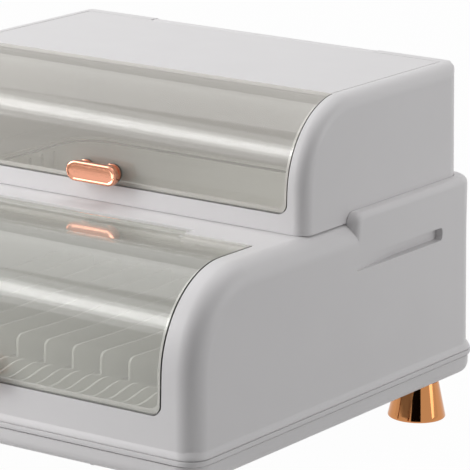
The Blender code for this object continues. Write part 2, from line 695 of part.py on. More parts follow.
def upper_window(finish):
    """The clear rolled half of the upper lid, with a tongue bonded under the panel."""
    lid = UPPER
    turn_y = lid.front + lid.arc
    turn_z = lid.top - lid.arc
    end = math.pi / 2 + PANEL_LAP / lid.arc
    outside = arc_points(turn_y, turn_z, lid.arc, math.pi, end, ARC_STEPS)
    inside = arc_points(turn_y, turn_z, lid.arc - LID_THICKNESS, end, math.pi, ARC_STEPS)
    outline = [(lid.front, lid.bottom)] + outside + inside + [(lid.front + LID_THICKNESS, lid.bottom)]
    sheet = round_edges(across(outline, -lid.half, lid.half), LID_CORNER, corner_edge(lid))
    made = new_object("upper_window", sheet, finish)
    start, stop = -PANEL_LAP - WINDOW_FLANGE, WINDOW_FLANGE - PANEL_LAP
    top = LID_THICKNESS + GAP
    low = top + WINDOW_FLANGE_THICKNESS
    steps = [start + (stop - start) * k / FILLET_STEPS for k in range(FILLET_STEPS + 1)]
    tongue = [on_face(lid, low, reach) for reach in steps]
    tongue += [on_face(lid, top, stop), on_face(lid, top, -PANEL_LAP - GAP)]
    tongue += [on_face(lid, LID_THICKNESS - ROOT, -PANEL_LAP - GAP), on_face(lid, LID_THICKNESS - ROOT / 2, start)]
    reach = lid.half - LEDGE_WIDTH
    add(made, across(tongue, -reach, reach))
    cut(made, *screw_bores(lid))
    return made


# Handles

def handle(prefix, lid, plated, steel):
    """A dished pill bar on two round posts, held by two screws from inside the lid."""
    spread = HANDLE_POST_SPREAD / 2
    back = lid.front - HANDLE_POST_LENGTH
    half_length = HANDLE_LENGTH / 2
    half_height = HANDLE_HEIGHT / 2
    edge = HANDLE_DISH
    face = HANDLE_BAR_THICKNESS
    levels = ((edge, 0.0), (0.0, edge), (0.0, face - edge), (edge / 2, face - edge / 4), (edge, face),
              (edge + HANDLE_RIM / 2, face), (edge + HANDLE_RIM, face - HANDLE_DISH / 2),
              (edge + HANDLE_RIM * 2, face - HANDLE_DISH))
    loops = []
    for inset, forward in levels:
        outline = rounded_rectangle(-half_length + inset, -half_height + inset, half_length - inset,
                                    half_height - inset, half_height - inset - GAP / 3)
        loops.append([(x, back - GAP - forward * (1 - GAP / face), lid.handle_z + y) for x, y in outline])
    bar = new_object(prefix + "_handle_bar", loft(loops), plated)
    bar_bores = []
    length = HANDLE_POST_LENGTH - GAP
    neck = HANDLE_POST_RADIUS - HANDLE_POST_COLLAR
    post_profile = [(0, GAP), (HANDLE_POST_RADIUS, GAP)]
    for share, radius in zip(COLLAR_SHARES, (HANDLE_POST_RADIUS, neck, neck, HANDLE_POST_RADIUS)):
        post_profile.append((radius, length * share))
    post_profile += [(HANDLE_POST_RADIUS, length), (0, length)]
    head = HANDLE_SCREW_HEAD_RADIUS
    inside = -LID_THICKNESS - GAP
    end = HANDLE_POST_LENGTH + HANDLE_SCREW_BITE
    screw_profile = [(0, inside - HANDLE_SCREW_HEAD), (head * CROWN_RADIUS_SHARE, inside - HANDLE_SCREW_HEAD),
                     (head, inside - HANDLE_SCREW_HEAD * CROWN_HEIGHT_SHARE), (head, inside),
                     (HANDLE_SCREW_RADIUS, inside), (HANDLE_SCREW_RADIUS, end), (0, end)]
    bore_radius = HANDLE_SCREW_RADIUS + GAP
    for side, word in SIDES:
        place = (side * spread, lid.front, lid.handle_z)
        post = new_object(prefix + "_handle_post_" + word, placed(turned(post_profile, ROUND_SIDES), place, TO_FRONT),
                          plated)
        cut(post, placed(rod(bore_radius, -OVERRUN, length + OVERRUN, SMALL_SIDES), place, TO_FRONT))
        bar_bores.append(placed(rod(bore_radius, length - OVERRUN, end + GAP, SMALL_SIDES), place, TO_FRONT))
        new_object(prefix + "_handle_screw_" + word, placed(turned(screw_profile, SMALL_SIDES), place, TO_FRONT), steel)
    cut(bar, *bar_bores)


def hinge_pins(prefix, lid, steel):
    """A short pin at each end of a lid's barrel."""
    chamfer = PIN_RADIUS / 4
    half = PIN_LENGTH / 2
    profile = [(0, -half), (PIN_RADIUS - chamfer, -half), (PIN_RADIUS, chamfer - half), (PIN_RADIUS, half - chamfer),
               (PIN_RADIUS - chamfer, half), (0, half)]
    for side, word in SIDES:
        pin = new_object(prefix + "_hinge_pin_" + word, placed(turned(profile, SMALL_SIDES), (0, 0, 0), TO_X), steel)
        pin.location = (side * (HINGE_WIDTH / 2 + HINGE_CLEARANCE), lid.hinge_y, lid.hinge_z)


# Base, feet and screws

def base_outline(inset, z):
    """The base's outline, set in by a distance, at a height."""
    step = BASE_STEP_IN + inset
    outline = rounded_rectangle(-LIP_WIDTH / 2 + step, LIP_FRONT + step, LIP_WIDTH / 2 - step, LIP_REAR - step,
                                LOWER_CORNER + LIP_FLARE - step)
    return [(x, y, z) for x, y in outline]


def foot_places():
    """The four foot centres, with the words for their names."""
    x = LIP_WIDTH / 2 - FOOT_INSET_X
    front = LIP_FRONT + FOOT_INSET_REAR
    rear = LIP_REAR - FOOT_INSET_REAR
    return (("front_left", -x, front), ("front_right", x, front), ("rear_left", -x, rear), ("rear_right", x, rear))


def base_tray(finish):
    """The drip tray that everything stands on: rounded rim, neck for the body, and a flat floor."""
    radius = BASE_EDGE_RADIUS
    loops = []
    for k in range(FILLET_STEPS + 1):
        turn = math.pi / 2 * k / FILLET_STEPS
        loops.append(base_outline(radius * (1 - math.sin(turn)), FOOT_HEIGHT + radius * (1 - math.cos(turn))))
    neck = LIP_FLARE + WALL - BASE_STEP_IN + GAP * 2
    inner = neck + BASE_NECK_WALL
    bend = BASE_INNER_RADIUS
    loops.append(base_outline(0.0, BASE_TOP))
    loops.append(base_outline(neck, BASE_TOP))
    loops.append(base_outline(neck, NECK_TOP))
    loops.append(base_outline(inner, NECK_TOP))
    loops.append(base_outline(inner, TRAY_FLOOR + bend))
    loops.append(base_outline(inner + bend * (1 - math.cos(math.pi / 4)),
                              TRAY_FLOOR + bend * (1 - math.sin(math.pi / 4))))
    loops.append(base_outline(inner + bend, TRAY_FLOOR))
    made = new_object("base_tray", loft(loops), finish)
    bores = []
    for _, x, y in foot_places():
        bores.append(placed(rod(FOOT_SCREW_RADIUS + GAP, FOOT_HEIGHT - OVERRUN, TRAY_FLOOR + OVERRUN, SMALL_SIDES),
                            (x, y, 0)))
    bosses = []
    for _, x, y in body_screw_places():
        bosses.append(placed(rod(BODY_BOSS_RADIUS, TRAY_FLOOR - ROOT, NECK_TOP, ROUND_SIDES), (x, y, 0)))
        bores.append(placed(rod(BODY_SCREW_RADIUS + GAP, FOOT_HEIGHT - OVERRUN, NECK_TOP + OVERRUN, SMALL_SIDES),
                            (x, y, 0)))
    add(made, *bosses)
    cut(made, *bores)
    return made


def body_screws(steel):
    """Four screws up through the base's bosses into the body's."""
    head_top = FOOT_HEIGHT - GAP
    head = BODY_SCREW_HEAD_RADIUS
    end = NECK_TOP + GAP + BODY_SCREW_BITE
    profile = [(0, head_top - BODY_SCREW_HEAD), (head * CROWN_RADIUS_SHARE, head_top - BODY_SCREW_HEAD),
               (head, head_top - BODY_SCREW_HEAD * CROWN_HEIGHT_SHARE), (head, head_top),
               (BODY_SCREW_RADIUS, head_top), (BODY_SCREW_RADIUS, end), (0, end)]
    for word, x, y in body_screw_places():
        screw = new_object("body_screw_" + word, turned(profile, SMALL_SIDES), steel)
        screw.location = (x, y, 0)


def feet(plated, rubber, steel):
    """Four flared feet, each with a pad under it and a screw down into it from the tray."""
    top = FOOT_HEIGHT - GAP
    taper = (FOOT_BASE_RADIUS - FOOT_TOP_RADIUS) / FOOT_HEIGHT
    low = FOOT_LIFT
    seat = PAD_THICKNESS + GAP
    profile = [(0, seat), (PAD_RADIUS + GAP, seat), (PAD_RADIUS + GAP, low), (FOOT_BASE_RADIUS - FOOT_EDGE, low),
               (FOOT_BASE_RADIUS - FOOT_EDGE / 3, low + FOOT_EDGE / 3),
               (FOOT_BASE_RADIUS - taper * FOOT_EDGE, low + FOOT_EDGE),
               (FOOT_TOP_RADIUS, top), (0, top)]
    shaft_low = top - FOOT_SCREW_BITE
    head_low = TRAY_FLOOR + GAP
    head = FOOT_SCREW_HEAD_RADIUS
    screw_profile = [(0, shaft_low + GAP), (FOOT_SCREW_RADIUS, shaft_low + GAP), (FOOT_SCREW_RADIUS, head_low),
                     (head, head_low), (head, head_low + FOOT_SCREW_HEAD * CROWN_HEIGHT_SHARE),
                     (head * CROWN_RADIUS_SHARE, head_low + FOOT_SCREW_HEAD), (0, head_low + FOOT_SCREW_HEAD)]
    for word, x, y in foot_places():
        foot = new_object("foot_" + word, turned(profile, ROUND_SIDES), plated)
        foot.location = (x, y, 0)
        cut(foot, placed(rod(FOOT_SCREW_RADIUS + GAP, shaft_low, top + OVERRUN, SMALL_SIDES), (x, y, 0)))
        pad = new_object("foot_pad_" + word, rod(PAD_RADIUS, 0, PAD_THICKNESS, ROUND_SIDES), rubber)
        pad.location = (x, y, 0)
        screw = new_object("foot_screw_" + word, turned(screw_profile, SMALL_SIDES), steel)
        screw.location = (x, y, 0)


# Plate rack

def eased(start, end, steps):
    """Points from one (y, z) to another along a smooth half wave, without the last."""
    points = []
    for k in range(steps):
        share = k / steps
        rise = (1 - math.cos(math.pi * share)) / 2
        points.append((start[0] + (end[0] - start[0]) * share, start[1] + (end[1] - start[1]) * rise))
    return points


def rack_front():
    """The rack's front face."""
    return LOWER_FRONT + WALL + RACK_FRONT_CLEARANCE


def rack_rear():
    """The rack's rear face."""
    return LOWER_REAR - WALL - RACK_REAR_CLEARANCE


def wave_top(end_at, end_top):
    """The wave along the front of every fin, from the rack's front to a last point."""
    front = rack_front()
    knots = [(front, RACK_FRONT_TOP), (front + RACK_VALLEY_AT, RACK_VALLEY_TOP), (front + RACK_CREST_AT, RACK_CREST_TOP),
             (front + end_at, end_top)]
    points = []
    for start, end in zip(knots, knots[1:]):
        points += eased(start, end, WAVE_STEPS)
    points.append(knots[-1])
    return points


def tall_fin():
    """Outline of a fin that rises behind its wave to stand plates against."""
    front = rack_front() + RACK_TALL_FRONT
    rear = rack_rear()
    corner = RACK_TALL_CORNER
    top = RACK_TALL_TOP
    quarter = (rear - front) / 4
    outline = [(rack_front(), RACK_UNDERSIDE)] + wave_top(RACK_TALL_FRONT, RACK_SADDLE_TOP)
    outline += arc_points(front + corner, top - corner, corner, math.pi, math.pi / 2, FILLET_STEPS)
    for k in (1, 2, 3):
        dip = RACK_TALL_DIP if k % 2 else 0
        outline.append((front + quarter * k, top - dip))
    outline += arc_points(rear - corner, top - corner, corner, math.pi / 2, 0, FILLET_STEPS)
    outline.append((rear, RACK_UNDERSIDE))
    return outline


def wave_fin():
    """Outline of a low fin between two tall ones."""
    end = RACK_TALL_FRONT
    low = RACK_UNDERSIDE + RACK_BAR_HEIGHT
    return [(rack_front(), RACK_UNDERSIDE)] + wave_top(end, low) + [(rack_front() + end, RACK_UNDERSIDE)]


def plate_rack(finish):
    """The rack in the tray: fins on cross bars between two rails, on six legs."""
    half = (RACK_TALL_COUNT - 1) / 2
    fins = []
    tall = tall_fin()
    wave = wave_fin()
    for k in range(RACK_TALL_COUNT):
        x = (k - half) * RACK_PITCH
        fins.append(across(tall, x - RACK_FIN / 2, x + RACK_FIN / 2))
        if k < RACK_TALL_COUNT - 1:
            x += RACK_PITCH / 2
            fins.append(across(wave, x - RACK_FIN / 2, x + RACK_FIN / 2))
    made = new_object("plate_rack", gathered(fins), finish)
    reach = RACK_REACH
    front = rack_front()
    rear = rack_rear()
    span = rear - front - RACK_BAR_WIDTH
    low = RACK_UNDERSIDE + ROOT / 2
    high = RACK_UNDERSIDE + RACK_BAR_HEIGHT
    bars = []
    for share in RACK_BAR_SHARES:
        y = front + span * share
        bars.append(block((-reach, y + ROOT / 4, low), (reach, y + RACK_BAR_WIDTH - ROOT / 4, high - ROOT / 4)))
    add(made, *bars)
    rails = []
    for side in (-1, 1):
        ends = sorted((side * reach, side * (reach + RACK_BAR_WIDTH)))
        inner = ends[0] - ROOT if side > 0 else ends[0]
        outer = ends[1] + ROOT if side < 0 else ends[1]
        rails.append(block((inner, front - ROOT, RACK_UNDERSIDE), (outer, rear + ROOT, high)))
    add(made, *rails)
    legs = []
    for side in (-1, 1):
        for y in (front + RACK_LEG_RADIUS * 2, (front + rear) / 2, rear - RACK_LEG_RADIUS * 2):
            leg = rod(RACK_LEG_RADIUS, TRAY_FLOOR + GAP, RACK_UNDERSIDE + RACK_BAR_HEIGHT / 2, SMALL_SIDES)
            legs.append(placed(leg, (side * reach, y, 0)))
    add(made, *legs)
    return made


# Bowl basket

def basket_outline(out, z):
    """The basket's inside outline at its rim, moved out by a distance, at a height."""
    outline = rounded_rectangle(-BASKET_HALF - out, BASKET_FRONT - out, BASKET_HALF + out, BASKET_REAR + out,
                                BASKET_CORNER + out)
    return [(x, y, z) for x, y in outline]


def bowl_basket(finish):
    """The basket that hangs by its rim in the upper floor, with slotted side walls and floor."""
    low = UPPER_FLOOR + GAP
    rim = low + BASKET_RIM_THICKNESS
    floor = FLOOR_TO_DECK - BASKET_DROP
    bend = BASKET_FOOT_BEND
    foot = -BASKET_TAPER
    levels = ((foot + BASKET_WALL - bend, floor - BASKET_WALL), (foot + BASKET_WALL, floor - BASKET_WALL + bend),
              (BASKET_WALL, low), (BASKET_RIM_WIDTH, low), (BASKET_RIM_WIDTH, rim), (0.0, rim), (foot, floor + bend),
              (foot - bend, floor))
    made = new_object("bowl_basket", loft([basket_outline(out, z) for out, z in levels]), finish)
    middle = (BASKET_FRONT + BASKET_REAR) / 2
    slots = []
    slot_reach = (BASKET_REAR - BASKET_FRONT) / 2 - BASKET_CORNER - BASKET_SLOT_WIDTH
    count = int(slot_reach / BASKET_SLOT_PITCH)
    for k in range(-count, count + 1):
        y = middle + k * BASKET_SLOT_PITCH
        slots.append(block((-BASKET_HALF - OVERRUN, y - BASKET_SLOT_WIDTH / 2, floor + BASKET_SLOT_FOOT),
                           (BASKET_HALF + OVERRUN, y + BASKET_SLOT_WIDTH / 2, rim - BASKET_SLOT_CROWN)))
    cut(made, *slots)
    drains = []
    length = (BASKET_REAR - BASKET_FRONT) / 2 - BASKET_CORNER
    count = int((BASKET_HALF - BASKET_CORNER) / BASKET_DRAIN_PITCH)
    for k in range(-count, count + 1):
        x = k * BASKET_DRAIN_PITCH
        drains.append(block((x - BASKET_DRAIN_WIDTH / 2, middle - length, floor - BASKET_WALL - OVERRUN),
                            (x + BASKET_DRAIN_WIDTH / 2, middle + length, floor + OVERRUN)))
    cut(made, *drains)
    return made


def main():
    """Clear the scene and build every piece."""
    for old in list(bpy.data.objects):
        bpy.data.objects.remove(old, do_unlink=True)
    white = material("white_abs", 222, 221, 221, 0.42)
    inner_white = material("inner_polypropylene", 214, 216, 208, 0.55)
    smoky = material("smoky_acrylic", 176, 178, 170, 0.08, alpha=0.4)
    rose = material("rose_gold_plated_abs", 214, 138, 98, 0.16, metallic=1.0)
    steel = material("stainless_steel", 176, 176, 178, 0.3, metallic=1.0)
    rubber = material("grey_rubber", 70, 70, 72, 0.85)
    base_tray(white)
    lower_body(white)
    upper_body(white)
    lower_lid(smoky)
    upper_lid_panel(white)
    upper_window(smoky)
    for prefix, lid in (("lower", LOWER), ("upper", UPPER)):
        handle(prefix, lid, rose, steel)
        hinge_pins(prefix, lid, steel)
    plate_rack(inner_white)
    bowl_basket(inner_white)
    feet(rose, rubber, steel)
    body_screws(steel)


main()
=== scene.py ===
"""Two-tier covered dish drainer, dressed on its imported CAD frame.

Run with: blender --background --python scene.py
"""

import json
import math
from contextlib import contextmanager

import bmesh
import bpy
from bpy.props import FloatProperty, IntProperty, PointerProperty, StringProperty
from mathutils import Matrix, Vector


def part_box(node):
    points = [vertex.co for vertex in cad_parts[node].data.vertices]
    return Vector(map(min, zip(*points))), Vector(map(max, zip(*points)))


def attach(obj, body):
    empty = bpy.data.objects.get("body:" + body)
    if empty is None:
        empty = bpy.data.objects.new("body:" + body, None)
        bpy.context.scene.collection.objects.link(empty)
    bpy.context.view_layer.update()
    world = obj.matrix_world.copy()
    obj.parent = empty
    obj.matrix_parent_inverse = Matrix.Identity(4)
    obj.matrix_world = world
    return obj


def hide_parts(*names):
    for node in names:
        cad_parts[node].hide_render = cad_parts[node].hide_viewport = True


bl_info = {
    "name": "Covered Dish Drainer",
    "version": (1, 0, 0),
    "blender": (4, 5, 0),
    "location": "View3D > Sidebar > Dish Drainer",
    "description": "Models and finishes a two-tier dish drainer with clear flip-up lids",
    "category": "Object",
}

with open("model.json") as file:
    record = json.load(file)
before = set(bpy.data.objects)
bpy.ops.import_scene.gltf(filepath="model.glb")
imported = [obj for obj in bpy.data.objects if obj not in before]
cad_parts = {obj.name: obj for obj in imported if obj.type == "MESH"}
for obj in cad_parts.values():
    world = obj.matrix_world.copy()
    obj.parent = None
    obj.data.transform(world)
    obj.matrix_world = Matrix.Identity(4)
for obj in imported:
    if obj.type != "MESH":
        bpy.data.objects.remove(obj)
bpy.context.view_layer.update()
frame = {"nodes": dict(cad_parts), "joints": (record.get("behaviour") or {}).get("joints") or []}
LOWER_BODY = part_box("lower_body")
UPPER_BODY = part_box("upper_body")
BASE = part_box("base_tray")
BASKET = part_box("bowl_basket")
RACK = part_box("plate_rack")
ROLL_STEPS = 28  # flat faces in the round of a roll
LID_REST = 0.0003  # between a shut lid and its ledge
TROUGH_ROUND = 0.002  # radius inside the hinge troughs


class LidPlace:
    """Where a lid's face, roll and hinge lie, from its CAD pieces and its joint."""

    def __init__(self, sheet, top_piece, joint, roll, hinge_set_back):
        low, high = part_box(sheet)
        hinge = next(each for each in frame["joints"] if each["name"] == joint)["pos_m"]
        self.front = low.y
        self.bottom = low.z
        self.half = high.x
        self.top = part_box(top_piece)[1].z
        self.roll = roll
        self.hinge_y, self.hinge_z = hinge[1], hinge[2]
        self.rear = self.hinge_y - hinge_set_back


LOWER = LidPlace("lower_lid", "lower_lid", "lower_lid_hinge", roll=0.0790, hinge_set_back=0.0072)
UPPER = LidPlace("upper_window", "upper_lid_panel", "upper_lid_hinge", roll=0.0720, hinge_set_back=0.0072)
QUARTER = math.radians(90)
NEAR = 2e-6  # how close counts as the same place, in metres
SAME = 1e-6  # how close two points merge
FINISHES = {}  # each finish that has been made, by its function's name


# Sizes and colours that can be changed

def length(name, description, default):
    """A length property in metres."""
    return FloatProperty(name=name, description=description, default=default, min=0.0, unit="LENGTH",
                         precision=4)


def colour(name, description, default):
    """A colour property, as an sRGB hex code."""
    return StringProperty(name=name, description=description, default=default)


class DrainerBody(bpy.types.PropertyGroup):
    """Sizes of the two moulded body shells and the base."""

    wall: length("Wall", "Thickness of the moulded walls", 0.0030)
    lean: FloatProperty(name="Lean", description="How far the side and rear walls lean in", unit="ROTATION",
                        default=math.radians(1.25), min=0.0)
    lip_flare: length("Lip flare", "How far the lower shell's lip stands out", 0.0030)
    lip_height: length("Lip height", "Height of the lip's outward curve", 0.0100)
    lower_side: length("Lower side edge", "Radius along the lower shell's cheeks", 0.0185)
    upper_side: length("Upper side edge", "Radius along the upper shell's cheeks", 0.0120)
    corner: length("Rear corner", "Radius of the rear corners in plan", 0.0240)
    upper_rear_edge: length("Upper rear edge", "Radius along the top of the upper rear wall", 0.0050)
    shoulder_front: length("Shoulder set back", "From the upper shell's front to the raised shoulder", 0.0620)
    shoulder_rise: length("Shoulder rise", "How far the shoulder stands above the deck", 0.0090)
    shoulder_drop: length("Shoulder drop", "How far below the deck the shoulder fades into the wall", 0.0520)
    shoulder_round: length("Shoulder round", "Radius of the shoulder's front, seen from the side", 0.0090)
    shoulder_edge: length("Shoulder edge", "Radius of the shoulder's outer edge", 0.0060)
    lip_drop: length("Lip drop", "How far the lip hangs past the seam of the CAD", 0.0012)
    slot_height: length("Finger slot height", "Height of the finger slots", 0.0112)
    slot_depth: length("Finger slot depth", "Depth of the finger slots", 0.0070)
    slot_face: length("Finger slot face", "From the middle out to the wall at the finger slots", 0.2146)
    slot_drop: length("Finger slot drop", "From the deck down to the top of the slots", 0.0275)
    slot_rear: length("Finger slot margin", "From the slots' rear end to the rear wall", 0.0600)
    shoulder_lean: FloatProperty(name="Shoulder lean", description="How far the shoulder's walls lean in",
                                 default=math.radians(0.55), min=0.0, unit="ROTATION")
    seat: length("Upper shell fit", "Gap between the upper shell and the shoulder round it", 0.0002)
    edge: length("Shell edges", "Radius of the shells' fine edges", 0.0005)
    base_round: length("Base edge", "Radius along the bottom of the base", 0.0100)
    base_corner: length("Base corner", "Radius of the base's corners in plan", 0.0210)
    neck: length("Base neck", "How far the base's neck stands in from its ledge", 0.0041)
    seam: length("Seam", "Gap between the lip and the base's ledge", 0.0013)
    tray_floor: length("Tray floor", "Depth of the tray below the top of its neck", 0.0510)


class DrainerLids(bpy.types.PropertyGroup):
    """Sizes of the lids, their seats and their hinges."""

    thickness: length("Lid thickness", "Thickness of the lid sheets", 0.0030)
    gap: length("Shut line", "Gap round each lid", 0.0009)
    side_gap: length("Lower side shut line", "Gap at each side of the lower lid", 0.0014)
    corner: length("Lid corner", "Radius of the lids' bottom corners", 0.0080)
    ledge: length("Ledge", "Width of the ledge that each lid shuts on", 0.0045)
    sill: length("Sill", "Width of the ledge under each lid's bottom edge", 0.0025)
    ledge_thickness: length("Ledge thickness", "Thickness of the ledge", 0.0028)
    panel_lap: length("Panel lap", "How far the white panel reaches down the roll", 0.0070)
    tongue: length("Window tongue", "How far the window's tongue reaches from the joint line", 0.0100)
    barrel: length("Hinge radius", "Radius of the hinge barrels", 0.0056)
    barrel_width: length("Hinge width", "Width of the hinge barrels", 0.2330)
    play: length("Hinge play", "Gap at each end of a barrel and under it", 0.0007)
    heel_gap: length("Heel gap", "Open space behind a barrel", 0.0015)


class DrainerFittings(bpy.types.PropertyGroup):
    """Sizes of the handles and feet."""

    rim: length("Handle rim", "Width of the raised rim round a handle's face", 0.0013)
    bar_edge: length("Bar edge", "Radius of the round edge at a handle's face", 0.0012)
    post_edge: length("Post edge", "Size of the soft ends of the handle posts", 0.0004)
    foot_edge: length("Foot edge", "Size of the rounded edge at a foot's base", 0.0016)
    foot_top: length("Foot top", "Radius of a foot at its top", 0.0168)
    foot_groove: length("Foot groove", "Depth of the ring groove round a foot", 0.0006)


class DrainerInside(bpy.types.PropertyGroup):
    """Sizes of the plate rack and the bowl basket."""

    tall_fins: IntProperty(name="Tall fins", description="How many fins hold plates", default=13, min=2)
    fin: length("Fin thickness", "Thickness of the rack's fins", 0.0022)
    bar: length("Rack bar", "Width of the rack's bars and rails", 0.0050)
    bar_height: length("Rack bar height", "Height of the rack's bars and rails", 0.0045)
    rail_overhang: length("Rail overhang", "From the last fin to the rail", 0.0070)
    basket_rim: length("Basket rim", "Width of the basket's rim", 0.0110)
    basket_corner: length("Basket corner", "Radius of the basket's corners inside", 0.0300)
    basket_wall: length("Basket wall", "Thickness of the basket's walls", 0.0022)
    basket_floor: length("Basket floor", "Height of the basket's floor", 0.1740)
    mouth_gap: length("Mouth gap", "Gap round the basket in the upper floor", 0.0032)
    deck_gap: length("Deck gap", "Gap round the basket in the deck below", 0.0042)
    slot_low: length("Slot foot", "Height of the lower ends of the basket's side slots", 0.1805)
    slot_high: length("Slot head", "Height of the upper ends of the basket's side slots", 0.2048)
    slot: length("Basket slot", "Width of the basket's side slots", 0.0052)
    slot_pitch: length("Slot pitch", "Spacing of the basket's side slots", 0.0175)
    undercut: length("Rim undercut", "Depth of the groove under the basket's rim", 0.0016)
    drain: length("Basket drain", "Width of the basket's floor slots", 0.0040)
    drain_pitch: length("Drain pitch", "Spacing of the basket's floor slots", 0.0180)
    drain_half: length("Drain reach", "Half the length of the basket's floor slots", 0.0480)
    rack_underside: length("Rack underside", "Height of the rack's underside", 0.0740)


class DrainerColours(bpy.types.PropertyGroup):
    """Colours of the finishes, as sRGB hex codes."""

    white: colour("White", "Moulded body plastic", "#E2E0E1")
    inner: colour("Inner white", "Plastic of the rack and basket", "#DADBD6")
    smoke: colour("Smoke", "Haze of the clear lids", "#D8D7CF")
    frost: colour("Frost", "Haze of the upper window", "#E0DCD4")
    foot: colour("Foot gold", "Plating of the feet", "#C98A58")
    rose: colour("Rose gold", "Plating of the handles", "#EEA98C")
    steel: colour("Steel", "Screws and hinge pins", "#B4B4B6")
    # the rubber colour is also painted in the groove under the basket's rim as the shade there
    rubber: colour("Rubber", "Pads under the feet", "#3C3C3E")
    # painted shade: this dark colour on the clear sheets' sawn edges stands for the shade in the lids' shut
    # lines
    cut: colour("Cut edge", "Sawn edges of the clear sheets", "#4A4C48")
    floor: colour("Floor", "Floor as the camera sees it", "#FFFFFF")
    paper: colour("Paper", "Floor as it lights the object", "#C6C6C6")
    flag: colour("Flag", "Black cloth beside the camera", "#161616")


# Finishes

def linear(code):
    """An sRGB hex colour as linear red, green, blue and alpha."""
    channels = []
    for start in (1, 3, 5):
        share = int(code[start:start + 2], 16) / 255
        channels.append(share / 12.92 if share <= 0.04045 else ((share + 0.055) / 1.055) ** 2.4)
    return (*channels, 1.0)


def add_node(tree, kind, inputs=None, **settings):
    """Add a node; inputs maps a socket's name or number to a value, or to a socket that feeds it."""
    node = tree.nodes.new(kind)
    for name, value in settings.items():
        setattr(node, name, value)
    for key, value in (inputs or {}).items():
        if isinstance(value, bpy.types.NodeSocket):
            tree.links.new(value, node.inputs[key])
        else:
            node.inputs[key].default_value = value
    return node


def chosen(name):
    """One of the scene's colours."""
    return linear(getattr(bpy.context.scene.drainer_colours, name))


def start_material(name):
    """An empty node material, with its tree and its output node."""
    made = bpy.data.materials.new(name)
    made.use_nodes = True
    tree = made.node_tree
    tree.nodes.clear()
    return made, tree, tree.nodes.new("ShaderNodeOutputMaterial")


def grain(tree, size, **inputs):
    """Noise with a grain of a size in millimetres, fixed to the object."""
    place = add_node(tree, "ShaderNodeTexCoord")
    noise = add_node(tree, "ShaderNodeTexNoise", {"Vector": place.outputs["Object"], "Scale": 1000 / size,
                                                  **inputs})
    return noise.outputs["Fac"]


def between(tree, value, low, high, start=0.0, end=1.0):
    """Map a value's range from start to end on to low to high."""
    node = add_node(tree, "ShaderNodeMapRange", {"Value": value, "From Min": start, "From Max": end,
                                                 "To Min": low, "To Max": high})
    return node.outputs["Result"]


def moulded_plastic(name, tint, roughness, size, depth, variation):
    """Injection-moulded plastic: one colour, a faint drift in gloss, and the fine grain of the mould.

    The grain is size millimetres across and depth millimetres deep.
    """
    made, tree, output = start_material(name)
    fine = grain(tree, size, Detail=2.0, Roughness=0.6)
    broad = grain(tree, 45, Detail=2.0, Roughness=0.5)
    worn = (*[channel * variation for channel in tint[:3]], 1.0)
    shade = add_node(tree, "ShaderNodeMix", {0: broad, 6: tint, 7: worn}, data_type="RGBA")
    bump = add_node(tree, "ShaderNodeBump", {"Height": fine, "Strength": 0.35, "Distance": depth / 1000})
    shader = add_node(tree, "ShaderNodeBsdfPrincipled", {
        "Base Color": shade.outputs[2], "Normal": bump.outputs["Normal"], "IOR": 1.5,
        "Roughness": between(tree, broad, roughness - 0.03, roughness + 0.03, 0.3, 0.7)})
    tree.links.new(shader.outputs["BSDF"], output.inputs["Surface"])
    return made


def white_abs():
    """Injection-moulded ABS, satin from a fine spark-eroded mould: broad soft highlights, nothing sharp."""
    return moulded_plastic("injection_moulded_abs_white", chosen("white"), roughness=0.42, size=0.6,
                           depth=0.004, variation=0.985)


def inner_polypropylene():
    """Injection-moulded polypropylene: slightly waxier and greener than the body."""
    return moulded_plastic("injection_moulded_polypropylene", chosen("inner"), roughness=0.5, size=0.8,
                           depth=0.004, variation=0.98)


def moulded_rubber():
    """Compression-moulded rubber: matt, with a soft grain. Its dark colour also serves as painted shade in
    the groove under the basket's rim.
    """
    return moulded_plastic("compression_moulded_rubber", chosen("rubber"), roughness=0.85, size=0.9,
                           depth=0.02, variation=0.9)


def mix(tree, share, first, second):
    """Two shaders mixed by a share of the second."""
    return add_node(tree, "ShaderNodeMixShader", {0: share, 1: first, 2: second}).outputs["Shader"]


def clear_sheet(name, tint, haze):
    """Thermoformed acrylic with a smoky tint: a milky veil over what is behind it, under a clear gloss.

    Light passes straight through, tinted, because the sheet is thin; lamps light what is inside. Both faces
    of the sheet shine alike, so Schlick's curve on the facing angle stands in for Fresnel, which would mirror
    from inside.
    """
    made, tree, output = start_material(name)
    facing = 0.039  # the share that an IOR of 1.49 reflects straight on
    clear = add_node(tree, "ShaderNodeBsdfTransparent", {"Color": linear("#FCFCFB")})
    veil = add_node(tree, "ShaderNodeBsdfDiffuse", {"Color": tint})
    gloss = add_node(tree, "ShaderNodeBsdfGlossy", {"Color": linear("#FFFFFF"), "Roughness": 0.06})
    slant = add_node(tree, "ShaderNodeLayerWeight", {"Blend": 0.5})
    rise = add_node(tree, "ShaderNodeMath", {0: slant.outputs["Facing"], 1: 5.0}, operation="POWER")
    hazy = mix(tree, haze, clear.outputs["BSDF"], veil.outputs["BSDF"])
    sheet = mix(tree, between(tree, rise.outputs[0], facing, 1.0), hazy, gloss.outputs["BSDF"])
    path = add_node(tree, "ShaderNodeLightPath")
    through = add_node(tree, "ShaderNodeBsdfTransparent", {"Color": linear("#FDFDFC")})
    final = mix(tree, path.outputs["Is Shadow Ray"], sheet, through.outputs["BSDF"])
    tree.links.new(final, output.inputs["Surface"])
    return made


def smoky_acrylic():
    """The lower lid's sheet: thermoformed acrylic with 31 percent haze."""
    return clear_sheet("thermoformed_acrylic_smoky", chosen("smoke"), haze=0.31)


def frosted_acrylic():
    """The upper window's sheet, from a paler batch with 28 percent haze."""
    return clear_sheet("thermoformed_acrylic_frosted", chosen("frost"), haze=0.28)


